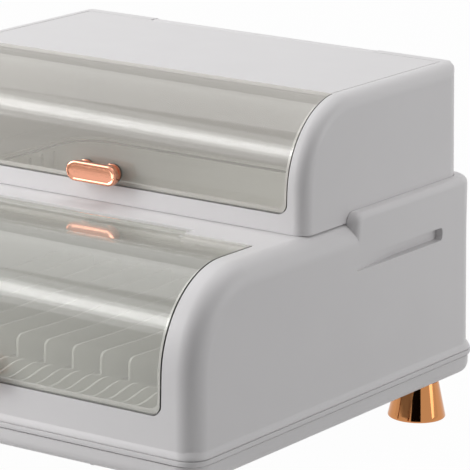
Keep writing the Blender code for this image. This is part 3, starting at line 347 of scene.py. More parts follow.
def worked(name, tint, size, low, high, start=0.0, end=1.0, detail=2.0, **inputs):
    """A worked surface: one colour, and a roughness from low to high with a grain of size millimetres."""
    made, tree, output = start_material(name)
    rough = between(tree, grain(tree, size, Detail=detail), low, high, start, end)
    shader = add_node(tree, "ShaderNodeBsdfPrincipled", {"Base Color": tint, "Roughness": rough, **inputs})
    tree.links.new(shader.outputs["BSDF"], output.inputs["Surface"])
    return made


def acrylic_edge_painted_shade():
    """The sawn and polished edge of the same sheet, painted dark: painted shade for the shut line round each
    lid.
    """
    return worked("sawn_acrylic_edge_smoky", chosen("cut"), size=1.5, low=0.25, high=0.4, IOR=1.49)


def plating(name, tint, low):
    """Vacuum-plated ABS: a metal mirror under the faintest haze of fingerprints."""
    return worked(name, tint, size=12, low=low, high=low + 0.05, start=0.35, end=0.7, detail=3.0,
                  Metallic=1.0)


def rose_gold_plating():
    """The handles' pink gold."""
    return plating("vacuum_plated_rose_gold", chosen("rose"), low=0.09)


def deep_gold_plating():
    """The feet's deeper, browner gold, with a sharper shine."""
    return plating("vacuum_plated_deep_gold", chosen("foot"), low=0.04)


def turned_steel():
    """Cold-headed stainless steel: a dull metal, finely uneven from the die."""
    return worked("cold_headed_stainless_steel", chosen("steel"), size=0.5, low=0.25, high=0.4, Metallic=1.0)


def finish_named(maker):
    """The material that a finish function makes, made once."""
    if maker.__name__ not in FINISHES:
        FINISHES[maker.__name__] = maker()
    return FINISHES[maker.__name__]


# Modelling by hand, in code

@contextmanager
def editing(piece):
    """Edit mode on one piece, with all of it selected and nothing else."""
    select_only(piece)
    bpy.ops.object.mode_set(mode="EDIT")
    bpy.ops.mesh.select_all(action="SELECT")
    yield
    bpy.ops.object.mode_set(mode="OBJECT")


def select_only(*pieces):
    """Select these pieces and nothing else; the last is the active one."""
    bpy.ops.object.select_all(action="DESELECT")
    for piece in pieces:
        piece.select_set(True)
        bpy.context.view_layer.objects.active = piece


def on(**planes):
    """A test for what lies wholly on these planes, such as x=0.1 or z=0."""
    def test(item):
        points = [item] if isinstance(item, bmesh.types.BMVert) else item.verts
        return all(abs(getattr(point.co, axis) - value) < NEAR
                   for point in points for axis, value in planes.items())
    return test


def runs_along(axis, least=NEAR):
    """A test for edges that go further than least along an axis."""
    def test(edge):
        return abs(getattr(edge.verts[0].co, axis) - getattr(edge.verts[1].co, axis)) > least
    return test


def pick(kind, test):
    """In edit mode, select just the "VERT", "EDGE" or "FACE" items for which test holds."""
    bpy.ops.mesh.select_mode(type=kind)
    bpy.ops.mesh.select_all(action="DESELECT")
    data = bpy.context.edit_object.data
    mesh = bmesh.from_edit_mesh(data)
    items = {"VERT": mesh.verts, "EDGE": mesh.edges, "FACE": mesh.faces}[kind]
    found = [item for item in items if test(item)]
    if not found:
        raise RuntimeError("nothing to pick on " + bpy.context.edit_object.name)
    for item in found:
        item.select_set(True)
    mesh.select_flush_mode()
    bmesh.update_edit_mesh(data)


def extrude(x=0.0, y=0.0, z=0.0):
    """Extrude what is selected by a distance."""
    bpy.ops.mesh.extrude_region_move(TRANSFORM_OT_translate={"value": (x, y, z), "orient_type": "GLOBAL"})


def resize(x, y, z, centre):
    """Scale what is selected about a point."""
    bpy.ops.transform.resize(value=(x, y, z), center_override=centre)


def move(x=0.0, y=0.0, z=0.0):
    """Move what is selected."""
    bpy.ops.transform.translate(value=(x, y, z))


def bevel(width, steps, what="EDGES"):
    """Round what is selected."""
    bpy.ops.mesh.bevel(offset=width, segments=steps, affect=what, clamp_overlap=False)


def round_edges(test, radius, steps):
    """Round the edges for which test holds."""
    pick("EDGE", test)
    bevel(radius, steps)


def inset(width, **shift):
    """Inset the selected faces evenly, then move them."""
    bpy.ops.mesh.inset(thickness=width, use_even_offset=True, use_boundary=True)
    if shift:
        move(**shift)


def place_primitive(name, size):
    """Name a new primitive, scale it to its size and put its place into its mesh."""
    made = bpy.context.object
    made.name = name
    made.scale = size
    select_only(made)
    bpy.ops.object.transform_apply(location=True, rotation=True, scale=True)
    return made


def add_box(name, first, second):
    """A block between two opposite corners, to be shaped."""
    low, high = (Vector(corner) for corner in zip(*map(sorted, zip(first, second))))
    bpy.ops.mesh.primitive_cube_add(size=1, location=(low + high) / 2)
    return place_primitive(name, high - low)


def add_sheet(name, centre, size, turn=(0, 0, 0)):
    """A flat sheet about a centre, level unless it is turned."""
    bpy.ops.mesh.primitive_plane_add(size=1, location=centre, rotation=turn)
    return place_primitive(name, (*size, 1))


def add_disc(name, radius, sides, centre, axis):
    """A flat round face about a centre, square to an axis."""
    turn = {"x": (0, QUARTER, 0), "y": (QUARTER, 0, 0), "z": (0, 0, 0)}[axis]
    bpy.ops.mesh.primitive_circle_add(vertices=sides, radius=radius, fill_type="NGON", location=centre,
                                      rotation=turn)
    return place_primitive(name, (1, 1, 1))


def add_turned(name, axis, centre, stations, sides):
    """A round piece: a disc at the first station, drawn out through the others.

    A station is a place along the axis and the radius there.
    """
    (level, now), *others = stations
    along = "xyz".index(axis)
    start = list(centre)
    start[along] = level
    piece = add_disc(name, now, sides, start, axis)
    with editing(piece):
        for place, radius in others:
            extrude(**{axis: place - level})
            scale = [radius / now] * 3
            scale[along] = 1
            resize(*scale, centre)
            level, now = place, radius
    point_outwards(piece)
    return piece


def modify(piece, kind, **settings):
    """Add a modifier to a piece and apply it."""
    step = piece.modifiers.new(kind.lower(), kind)
    for name, value in settings.items():
        setattr(step, name, value)
    select_only(piece)
    bpy.ops.object.modifier_apply(modifier=step.name)


def solidify(sheet, thickness, offset=-1.0):
    """Give a sheet its thickness, behind its face or about its middle."""
    modify(sheet, "SOLIDIFY", thickness=thickness, offset=offset, use_even_offset=True)


def combine(piece, other, operation):
    """Join another solid on to a piece, or cut it out, and remove the other."""
    modify(piece, "BOOLEAN", object=other, operation=operation, solver="EXACT")
    bpy.data.objects.remove(other, do_unlink=True)


def join(pieces, name):
    """Several meshes as one piece."""
    select_only(*pieces)
    bpy.ops.object.join()
    made = bpy.context.object
    made.name = name
    return made


def copy_by(piece, shift):
    """A copy of a piece with its own mesh, moved by a shift."""
    made = piece.copy()
    made.data = piece.data.copy()
    bpy.context.scene.collection.objects.link(made)
    made.data.transform(Matrix.Translation(shift))
    return made


def copies(piece, count, x=0.0, y=0.0):
    """Copies of a piece at even steps along x or y."""
    return [copy_by(piece, (x * number, y * number, 0)) for number in range(1, count)]


def copy_to_nodes(piece, first, *others):
    """A piece that was made for the first of some CAD nodes, and its copies for the others, by node."""
    made = {first: piece}
    for node in others:
        made[node] = copy_by(piece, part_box(node)[0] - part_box(first)[0])
        made[node].name = node + "_shape"
    return made


def point_outwards(piece):
    """Turn every face outwards."""
    with editing(piece):
        bpy.ops.mesh.remove_doubles(threshold=SAME)
        bpy.ops.mesh.normals_make_consistent(inside=False)


def mend(piece, reach=0.00003):
    """Merge the points that a cut left almost in one place, and close the slits."""
    with editing(piece):
        bpy.ops.mesh.remove_doubles(threshold=reach)
        bpy.ops.mesh.dissolve_degenerate(threshold=reach)
        bpy.ops.mesh.delete_loose()
        bpy.ops.mesh.select_all(action="SELECT")
        bpy.ops.mesh.fill_holes(sides=8)


def soften(piece, width, angle):
    """Round the edges that are sharper than an angle in degrees, slightly."""
    mend(piece)
    modify(piece, "BEVEL", width=width, segments=2, limit_method="ANGLE", angle_limit=math.radians(angle),
           use_clamp_overlap=True)
    mend(piece, NEAR)


def dress(piece, maker, angle):
    """Give a piece its material, and smooth it where it turns by less than an angle in degrees."""
    piece.data.materials.clear()
    piece.data.materials.append(finish_named(maker))
    select_only(piece)
    bpy.ops.object.shade_smooth_by_angle(angle=math.radians(angle))


def finish(piece, maker, body, node, angle):
    """Dress a piece, and set it on its body in place of its CAD node."""
    dress(piece, maker, angle)
    modify(piece, "WEIGHTED_NORMAL", mode="FACE_AREA", weight=50, keep_sharp=True)
    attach(piece, body)
    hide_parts(node)


def finish_part(piece, maker, test):
    """Give the faces for which test holds a finish of their own."""
    piece.data.materials.append(finish_named(maker))
    for face in piece.data.polygons:
        if test(face):
            face.material_index = 1


# Shapes that the body and lids share

def add_shell(name, half, heights, depths, radii, lean):
    """A solid whose upright front rolls back into its top, with round side edges and rear corners.

    heights are its foot and top, depths its front and rear, and radii those of its roll, its side edges, its
    rear corners and its top rear edge.
    """
    (low, top), (front, rear), (roll, side, corner, rear_edge) = heights, depths, radii
    body = add_box(name, (-half, front, low), (half, rear, top))
    narrow = math.tan(lean) * (top - low)
    with editing(body):
        pick("FACE", on(z=top))
        resize((half - narrow) / half, 1, 1, (0, 0, top))
        pick("EDGE", on(y=rear, z=top))
        move(y=-narrow)
        round_edges(on(y=front, z=top), roll, ROLL_STEPS)
        mesh = bmesh.from_edit_mesh(body.data)
        weight = mesh.edges.layers.float.new("bevel_weight_edge")
        for edge in mesh.edges:
            first, second = (vert.co for vert in edge.verts)
            at_side = first.x * second.x > 0 and min(abs(first.x), abs(second.x)) > half - narrow - NEAR
            at_rear = min(first.y, second.y) > rear - narrow - NEAR
            if at_rear and at_side:
                edge[weight] = 1.0
            elif at_rear and min(first.z, second.z) > top - NEAR:
                edge[weight] = rear_edge / corner
            elif at_side and max(first.z, second.z) > low + NEAR:
                edge[weight] = side / corner
        bmesh.update_edit_mesh(body.data)
    modify(body, "BEVEL", width=corner, segments=8, limit_method="WEIGHT", use_clamp_overlap=False)
    return body


def add_roll(name, lid, depth, thickness, low, high, half, corner=0.0):
    """A bent plate that follows a lid's face at a depth, from a height up its front to a distance back."""
    face, top = lid.front + depth, lid.top - depth
    sheet = add_sheet(name, (0, face, (low + top) / 2), (half * 2, top - low), (QUARTER, 0, 0))
    with editing(sheet):
        pick("EDGE", on(y=face, z=top))
        extrude(y=high - face)
        round_edges(on(y=face, z=top), lid.roll - depth, ROLL_STEPS)
        if corner:
            pick("VERT", on(y=face, z=low))
            bevel(corner, 6, "VERTICES")
    solidify(sheet, thickness)
    return sheet


def add_rounded(name, first, second, axis, radius, steps=6):
    """A block between two opposite corners, with its four edges along one axis rounded."""
    block = add_box(name, first, second)
    with editing(block):
        round_edges(runs_along(axis), radius, steps)
    return block


def cut_mouth(body, low, high, gap, inside):
    """Cut the opening that the basket's tub drops through, with a gap all round it."""
    grow = gap - inside.basket_rim
    mouth = add_rounded("mouth", (BASKET[0].x - grow, BASKET[0].y - grow, low),
                        (BASKET[1].x + grow, BASKET[1].y + grow, high), "z", inside.basket_corner + gap, 8)
    combine(body, mouth, "DIFFERENCE")


def cut_lid_place(body, lid, lids, side_gap):
    """Add a lid's ledge and hinge ears to a body, then cut its seat, its opening and its hinge trough."""
    over, into = 0.004, 0.0008  # past the surface to cut it cleanly, and into the wall to join it
    ear_wide, ear_half, ear_round, ear_top = 0.011, 0.0075, 0.006, lid.top - 0.0012
    through = 0.008  # how deep the opening's cutter goes
    ahead, above = 0.016, 0.02  # of the trough's cutter, in front of the lid's rear edge and over its face
    ledge = add_roll("ledge", lid, lids.thickness - into, lids.ledge_thickness + into * 1.5,
                     lid.bottom - over, lid.rear + over, lid.half + over)
    combine(body, ledge, "UNION")
    ear = lids.barrel_width / 2 + lids.play
    front, rear, foot = lid.hinge_y - ear_half, lid.hinge_y + ear_half, lid.hinge_z - ear_half
    for side in (-1, 1):
        block = add_box("ear", (side * ear, front, foot), (side * (ear + ear_wide), rear, ear_top))
        with editing(block):
            for y in (front, rear):
                round_edges(on(y=y, z=foot), ear_round, 5)
        combine(body, block, "UNION")
    seat = add_roll("seat", lid, -over, over + lids.thickness + LID_REST, lid.bottom - lids.gap,
                    lid.rear + lids.gap, lid.half + side_gap, lids.corner + lids.gap)
    combine(body, seat, "DIFFERENCE")
    hole = add_roll("opening", lid, -over, over + through, lid.bottom + lids.sill, lid.rear - lids.ledge,
                    lid.half - lids.ledge, lids.corner)
    combine(body, hole, "DIFFERENCE")
    trough = add_rounded("trough", (-ear, lid.rear - ahead, lid.hinge_z - lids.barrel - lids.play),
                         (ear, lid.hinge_y + lids.barrel + lids.heel_gap, lid.top + above),
                         "x", TROUGH_ROUND, 3)
    combine(body, trough, "DIFFERENCE")


class PieceOperator:
    """What the modelling operators share: they can be undone."""

    bl_options = {"REGISTER", "UNDO"}


class DRAINER_OT_lower_body(PieceOperator, bpy.types.Operator):
    """Model the lower shell: its flared lip, its shoulder, its finger slots and its lid's seat"""

    bl_idname = "drainer.lower_body"
    bl_label = "Lower body"

    def execute(self, context):
        scene = context.scene
        sizes, lids, inside = scene.drainer_body, scene.drainer_lids, scene.drainer_inside
        low, high = LOWER_BODY
        deck, foot, wall = LOWER.top, low.z + sizes.lip_height, sizes.wall
        half, rear = high.x - sizes.lip_flare, high.y - sizes.lip_flare
        set_in = math.tan(sizes.lean) * sizes.lip_height
        sunk, inner_edge = 0.0002, 0.001  # of the shoulder's foot in the wall, and the hollow's rear edge
        under, past = 0.02, 0.02  # how far the hollow starts below the foot, and cutters pass the deck
        lean_half, depths = half - set_in, (LOWER.front, rear - set_in)
        body = add_shell("lower_body_shell", lean_half, (foot, deck), depths,
                         (LOWER.roll, sizes.lower_side, sizes.corner, wall), sizes.lean)
        self.draw_lip(body, lean_half, depths, sizes)
        inwards = math.tan(sizes.lean) * (deck - sizes.shoulder_drop - low.z) + sunk
        shoulder = self.add_shoulder(half - inwards, deck, UPPER.front + sizes.shoulder_front, rear - inwards,
                                     sizes)
        combine(body, shoulder, "UNION")
        hollow = add_shell("hollow", lean_half - wall, (foot - under, deck - wall),
                           (depths[0] + wall, depths[1] - wall),
                           (LOWER.roll - wall, sizes.lower_side - wall, sizes.corner - wall, inner_edge),
                           sizes.lean)
        combine(body, hollow, "DIFFERENCE")
        beside = UPPER_BODY[1].x + sizes.seat
        pocket = add_rounded("pocket", (-beside, UPPER.front - sizes.seat, deck),
                             (beside, UPPER_BODY[1].y + sizes.seat, deck + past),
                             "z", sizes.corner + sizes.seat)
        combine(body, pocket, "DIFFERENCE")
        cut_lid_place(body, LOWER, lids, lids.side_gap)
        cut_mouth(body, deck - past, deck + past, inside.deck_gap, inside)
        for side in (-1, 1):
            self.cut_finger_slot(body, side, deck, rear, sizes)
        soften(body, sizes.edge, angle=40)
        finish(body, white_abs, "housing", "lower_body", angle=34)
        return {"FINISHED"}

    @staticmethod
    def draw_lip(body, half, depths, sizes):
        """Draw the shell's foot down into its lip: a flare, a fine groove, a bead and an undercut.

        Each pair of the profile is a height, as a share of the lip's, and a reach, as a share of its flare.
        """
        profile = ((0.88, 0.22), (0.75, 0.50), (0.60, 0.72), (0.46, 0.84), (0.40, 0.86), (0.37, 0.45),
                   (0.33, 0.45), (0.29, 0.94), (0.18, 1.0), (0.06, 0.96), (-0.06, 0.88),
                   (-sizes.lip_drop / sizes.lip_height, 0.76))
        seam = LOWER_BODY[0].z
        foot = level = seam + sizes.lip_height
        (front, rear), reached, ends = depths, 0.0, depths
        with editing(body):
            pick("FACE", on(z=foot))
            for share, out in profile:
                z = seam + share * sizes.lip_height
                reach = math.tan(sizes.lean) * (foot - z) + out * sizes.lip_flare
                past, ends = ends, (front - out * sizes.lip_flare, rear + reach)
                extrude(z=z - level)
                resize((half + reach) / (half + reached), (ends[1] - ends[0]) / (past[1] - past[0]), 1,
                       (0, sum(past) / 2, z))
                move(y=(sum(ends) - sum(past)) / 2)
                reached, level = reach, z

    @staticmethod
    def add_shoulder(half, deck, front, rear, sizes):
        """The raised rear block round the upper shell, with a rolled front and one soft edge all round."""
        low, top = deck - sizes.shoulder_drop, deck + sizes.shoulder_rise
        narrow = math.tan(sizes.shoulder_lean) * (top - low)
        block = add_box("shoulder", (-half, front, low), (half, rear, top))
        with editing(block):
            pick("FACE", on(z=top))
            resize((half - narrow) / half, 1, 1, (0, 0, top))
            pick("EDGE", on(y=rear, z=top))
            move(y=-narrow)
            round_edges(lambda edge: runs_along("z")(edge)
                        and min(vert.co.y for vert in edge.verts) > rear - narrow - NEAR, sizes.corner, 10)
            round_edges(on(y=front, z=top), sizes.shoulder_round, 8)
            round_edges(lambda edge: edge.calc_face_angle(0) > math.radians(60)
                        and max(vert.co.z for vert in edge.verts) > low + NEAR, sizes.shoulder_edge, 6)
        return block

    @staticmethod
    def cut_finger_slot(body, side, deck, rear, sizes):
        """Back a finger slot inside the wall, then sink it, with its floor running out at the front."""
        top = deck - sizes.slot_drop
        low = top - sizes.slot_height
        front, end = UPPER.front + sizes.shoulder_front, rear - sizes.slot_rear
        middle = (front + end) / 2
        face = sizes.slot_face
        back = face - sizes.slot_depth
        margin, lip = 0.0025, 0.0015  # of the backing round the slot, and of wall left in front of either
        longer, past, corner = 0.003, 0.006, 0.0035  # the backing's ends, the cutter's reach, a slot's corner
        backing = add_box("backing", (side * (back - margin), front - longer, low - margin),
                          (side * (face - lip), end + longer, top + margin))
        combine(body, backing, "UNION")
        slot = add_box("slot", (side * back, front, low), (side * (face + past), end, top))
        with editing(slot):
            pick("FACE", on(y=front))
            move(y=middle - front)
            pick("FACE", on(y=middle))
            extrude(y=front - middle)
            pick("EDGE", on(x=side * back, y=front))
            move(x=side * (sizes.slot_depth - lip))
            round_edges(lambda edge: runs_along("x", 0.002)(edge)
                        and min(vert.co.y for vert in edge.verts) > end - NEAR, corner, 5)
        combine(body, slot, "DIFFERENCE")


class DRAINER_OT_upper_body(PieceOperator, bpy.types.Operator):
    """Model the upper shell: its walls, floor, basket mouth, lid seat and hinge notch"""

    bl_idname = "drainer.upper_body"
    bl_label = "Upper body"

    def execute(self, context):
        scene = context.scene
        sizes, lids, inside = scene.drainer_body, scene.drainer_lids, scene.drainer_inside
        low, high = UPPER_BODY
        wall = sizes.wall
        inner_edge, past = 0.003, 0.01  # the hollow's top rear edge, and how far cutters pass a surface
        set_in = wall + math.tan(sizes.lean) * wall
        body = add_shell("upper_body_shell", high.x, (low.z, high.z), (low.y, high.y),
                         (UPPER.roll, sizes.upper_side, sizes.corner, sizes.upper_rear_edge), sizes.lean)
        hollow = add_shell("hollow", high.x - set_in, (low.z + wall, high.z - wall),
                           (low.y + wall, high.y - set_in),
                           (UPPER.roll - wall, sizes.upper_side - wall, sizes.corner - wall, inner_edge),
                           sizes.lean)
        combine(body, hollow, "DIFFERENCE")
        cut_lid_place(body, UPPER, lids, lids.gap)
        ear = lids.barrel_width / 2 + lids.play
        ahead = 0.004  # where the notch starts, in front of the hinge
        notch = add_rounded("notch", (-ear, UPPER.hinge_y - ahead, UPPER.hinge_z - lids.barrel - lids.play),
                            (ear, high.y + past, high.z + past), "y", TROUGH_ROUND, 3)
        combine(body, notch, "DIFFERENCE")
        cut_mouth(body, low.z - past, low.z + wall + past, inside.mouth_gap, inside)
        soften(body, sizes.edge, angle=40)
        finish(body, white_abs, "housing", "upper_body", angle=34)
        return {"FINISHED"}


def add_barrel(lid, lids):
    """A hinge barrel across a lid's rear edge, with the tongue that joins it to the sheet."""
    across = lids.barrel_width / 2
    root, under, into = 0.004, 0.0010, 0.0008  # how far the tongue passes the sheet's end, the axis, its face
    barrel = add_turned("barrel", "x", (0, lid.hinge_y, lid.hinge_z),
                        ((-across, lids.barrel), (across, lids.barrel)), 40)
    tongue = add_box("tongue", (-across, lid.rear - root, lid.hinge_z - under),
                     (across, lid.hinge_y, lid.top - lids.thickness + into))
    combine(barrel, tongue, "UNION")
    return barrel


def paint_shut_line_shade(sheet, lid):
    """Paint dark shade for the shut line on a clear sheet's sawn side and bottom edges, as a finish of their
    own.
    """
    side, foot = lid.half - 0.0005, lid.bottom + 0.0085  # past these, a face that looks outwards is an edge
    finish_part(sheet, acrylic_edge_painted_shade, lambda face: (
        abs(face.center.x) > side and abs(face.normal.x) > 0.5
        or face.center.z < foot and abs(face.normal.y) < 0.5))


class DRAINER_OT_lower_lid(PieceOperator, bpy.types.Operator):
    """Model the lower lid: one clear sheet that rolls back to its hinge barrel"""

    bl_idname = "drainer.lower_lid"
    bl_label = "Lower lid"

    def execute(self, context):
        lids = context.scene.drainer_lids
        sheet = add_roll("lower_lid_sheet", LOWER, 0, lids.thickness, LOWER.bottom, LOWER.rear, LOWER.half,
                         lids.corner)
        point_outwards(sheet)
        combine(sheet, add_barrel(LOWER, lids), "UNION")
        soften(sheet, width=0.0006, angle=45)
        finish(sheet, smoky_acrylic, "lower_lid", "lower_lid", angle=34)
        paint_shut_line_shade(sheet, LOWER)
        return {"FINISHED"}


class DRAINER_OT_upper_lid(PieceOperator, bpy.types.Operator):
    """Model the upper lid: the clear window with its tongue, and the white panel with its hinge barrel"""

    bl_idname = "drainer.upper_lid"
    bl_label = "Upper lid"

    def execute(self, context):
        lids = context.scene.drainer_lids
        y, z, turn = self.split_place(lids)
        joint, thick = 0.00015, lids.thickness  # half the joint's width, and the sheets' thickness
        into, tongue_thick, set_in = 0.0003, 0.0028, 0.008  # the tongue's overlap, thickness and set-back
        window = self.sheet("upper_window_sheet", 0, thick, UPPER.half, lids.corner)
        self.trim(window, (y, z, turn), joint, front=True)
        tongue = self.sheet("window_tongue", thick - into, tongue_thick, UPPER.half - set_in)
        end = (y + lids.tongue * math.cos(turn), z + lids.tongue * math.sin(turn), turn)
        self.trim(tongue, end, 0, front=True)
        under = (y + thick * math.sin(turn), z - thick * math.cos(turn), turn + math.radians(60))
        self.trim(tongue, under, 0, front=False)
        combine(window, tongue, "UNION")
        soften(window, width=0.0004, angle=45)
        finish(window, frosted_acrylic, "upper_lid", "upper_window", angle=34)
        paint_shut_line_shade(window, UPPER)
        panel = self.sheet("upper_lid_panel_sheet", 0, thick, UPPER.half)
        self.trim(panel, (y, z, turn), -joint, front=False)
        combine(panel, add_barrel(UPPER, lids), "UNION")
        soften(panel, width=0.0005, angle=45)
        finish(panel, white_abs, "upper_lid", "upper_lid_panel", angle=34)
        return {"FINISHED"}

    @staticmethod
    def sheet(name, depth, thickness, half, corner=0.0):
        """A sheet over the whole of the upper lid's face, at a depth."""
        made = add_roll(name, UPPER, depth, thickness, UPPER.bottom, UPPER.rear, half, corner)
        point_outwards(made)
        return made

    @staticmethod
    def split_place(lids):
        """Where window and panel meet on the roll: y, z and the slope there."""
        turn = lids.panel_lap / UPPER.roll
        centre_y, centre_z = UPPER.front + UPPER.roll, UPPER.top - UPPER.roll
        return centre_y - UPPER.roll * math.sin(turn), centre_z + UPPER.roll * math.cos(turn), turn

    @staticmethod
    def trim(piece, place, offset, front):
        """Keep what lies in front of, or behind, the plane across the roll at a place."""
        y, z, turn = place
        along = Vector((0, math.cos(turn), math.sin(turn)))
        with editing(piece):
            bpy.ops.mesh.bisect(plane_co=Vector((0, y, z)) - along * offset, plane_no=along, use_fill=True,
                                clear_outer=front, clear_inner=not front)


class DRAINER_OT_base(PieceOperator, bpy.types.Operator):
    """Model the base: a shallow tray with a rolled bottom edge and a neck that locates the lower shell"""

    bl_idname = "drainer.base"
    bl_label = "Base"

    def execute(self, context):
        sizes = context.scene.drainer_body
        low, high = BASE
        ledge = LOWER_BODY[0].z - sizes.seam - sizes.lip_drop
        neck_wall, ledge_edge = 0.0025, 0.0006
        tray = add_rounded("base_tray_shell", low, (high.x, high.y, ledge), "z", sizes.base_corner, 10)
        with editing(tray):
            pick("FACE", on(z=ledge))
            inset(sizes.neck)
            extrude(z=high.z - ledge)
            inset(neck_wall)
            extrude(z=sizes.tray_floor - high.z)
            for width, drop in ((0.0040, 0.0066), (0.0040, 0.0014)):
                inset(width, z=-drop)
            round_edges(self.rim_of(low.z), sizes.base_round, 8)
            round_edges(lambda edge: self.rim_of(ledge)(edge) and any(
                vert.co.z < ledge - 0.001 for face in edge.link_faces for vert in face.verts), ledge_edge, 2)
        finish(tray, white_abs, "housing", "base_tray", angle=36)
        return {"FINISHED"}

    @staticmethod
    def rim_of(z):
        """A test for edges between a level face at a height and one that isn't."""
        return lambda edge: on(z=z)(edge) and sum(on(z=z)(face) for face in edge.link_faces) == 1


class DRAINER_OT_feet(PieceOperator, bpy.types.Operator):
    """Model a plated foot with its flare, ring groove and rolled edge, and its rubber pad, at each corner"""

    bl_idname = "drainer.feet"
    bl_label = "Feet"

    def execute(self, context):
        corners = ("front_left", "front_right", "rear_left", "rear_right")
        first = self.foot("foot_" + corners[0], context.scene.drainer_fittings)
        feet = copy_to_nodes(first, *("foot_" + corner for corner in corners))
        first = self.pad("foot_pad_" + corners[0])
        pads = copy_to_nodes(first, *("foot_pad_" + corner for corner in corners))
        for (foot_node, foot), (pad_node, pad) in zip(feet.items(), pads.items()):
            finish(foot, deep_gold_plating, "housing", foot_node, angle=50)
            finish(pad, moulded_rubber, "housing", pad_node, angle=40)
        return {"FINISHED"}

    @staticmethod
    def foot(name, fittings):
        """A turned foot that narrows evenly to its top, with a groove round it."""
        low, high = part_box(name)
        wide, edge, top = (high.x - low.x) / 2, fittings.foot_edge, fittings.foot_top
        stations = [(low.z, wide - edge)]
        for turn in range(15, 105, 15):
            angle = math.radians(turn)
            stations.append((low.z + edge * (1 - math.cos(angle)), wide - edge + edge * math.sin(angle)))
        tall, cut = high.z - low.z - edge, fittings.foot_groove
        # shares of the way up, and how far each lies in from the even taper
        for share, sunk in ((0.08, 0), (0.2, 0), (0.34, 0), (0.48, 0), (0.62, 0), (0.74, 0), (0.83, 0),
                            (0.835, cut), (0.855, cut), (0.86, 0), (0.93, 0), (1.0, 0)):
            stations.append((low.z + edge + tall * share, wide + (top - wide) * share - sunk))
        return add_turned(name + "_shape", "z", (low + high) / 2, stations, 96)

    @staticmethod
    def pad(name):
        """A rubber pad with a soft edge and a shallow ring in its underside."""
        low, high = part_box(name)
        radius, edge, ring, deep = (high.x - low.x) / 2, 0.0004, 0.004, 0.0003
        stations = ((high.z, radius), (low.z + edge, radius), (low.z, radius - edge))
        pad = add_turned(name + "_shape", "z", (low + high) / 2, stations, 64)
        with editing(pad):
            pick("FACE", on(z=low.z))
            inset(ring)
            extrude(z=deep)
        point_outwards(pad)
        return pad


class DRAINER_OT_handles(PieceOperator, bpy.types.Operator):
    """Model the two pill-shaped handles: a dished bar with a raised rim on two collared posts"""

    bl_idname = "drainer.handles"
    bl_label = "Handles"

    def execute(self, context):
        fittings = context.scene.drainer_fittings
        tiers = ("lower", "upper")
        nodes = [tier + "_handle_bar" for tier in tiers]
        bars = copy_to_nodes(self.bar(nodes[0], fittings), *nodes)
        nodes = [tier + "_handle_post_" + side for tier in tiers for side in ("left", "right")]
        posts = copy_to_nodes(self.post(nodes[0], fittings.post_edge), *nodes)
        for tier, (bar_node, bar) in zip(tiers, bars.items()):
            finish(bar, rose_gold_plating, tier + "_lid", bar_node, angle=50)
            for node, post in posts.items():
                if node.startswith(tier):
                    finish(post, rose_gold_plating, tier + "_lid", node, angle=30)
                    self.darken_post_end(post, *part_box(node))
        return {"FINISHED"}

    @staticmethod
    def bar(name, fittings):
        """The bar: a pill drawn out towards the front, its face inset for the rim and sunk."""
        low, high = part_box(name)
        centre = (low + high) / 2
        radius = (high.z - low.z) / 2
        run = (high.x - low.x) / 2 - radius
        edge = fittings.bar_edge
        disc = add_disc(name + "_shape", radius, 64, (0, high.y, centre.z), "y")
        with editing(disc):
            for side in (-1, 1):
                pick("VERT", lambda vert: vert.co.x * side > NEAR * 5)
                move(x=side * run)
            bpy.ops.mesh.select_all(action="SELECT")
            extrude(y=low.y + edge - high.y)
            past, sunk = radius, 0.0
            for turn in (30, 60, 90):
                angle = math.radians(turn)
                reach, out = radius - edge * (1 - math.cos(angle)), edge * math.sin(angle)
                extrude(y=sunk - out)
                resize((run + reach) / (run + past), 1, reach / past, (0, 0, centre.z))
                past, sunk = reach, out
            inset(fittings.rim * 0.35)
            for width, drop in ((0.0003, 0.00025), (0.0004, 0.0005), (0.0012, 0.0002), (0.0018, 0.00012),
                                (0.0022, 0.00005)):
                inset(width, y=drop)
        point_outwards(disc)
        return disc

    @staticmethod
    def post(name, edge):
        """A post: a round pin with a groove between two collars, and soft ends."""
        low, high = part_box(name)
        radius, run = (high.x - low.x) / 2, high.y - low.y
        groove = radius - 0.0006
        profile = ((0, radius - edge), (edge, radius), (run * 0.18, radius), (run * 0.38, radius),
                   (run * 0.40, groove), (run * 0.60, groove), (run * 0.62, radius), (run - edge, radius),
                   (run, radius - edge))
        return add_turned(name + "_shape", "y", (low + high) / 2,
                          [(high.y - out, wide) for out, wide in profile], 64)

    @staticmethod
    def darken_post_end(post, low, high):
        """Give a post's end by the lid, its last fifth, the dark rubber finish."""
        reach = (high.y - low.y) * 0.2
        finish_part(post, moulded_rubber, lambda face: face.center.y > high.y - reach)


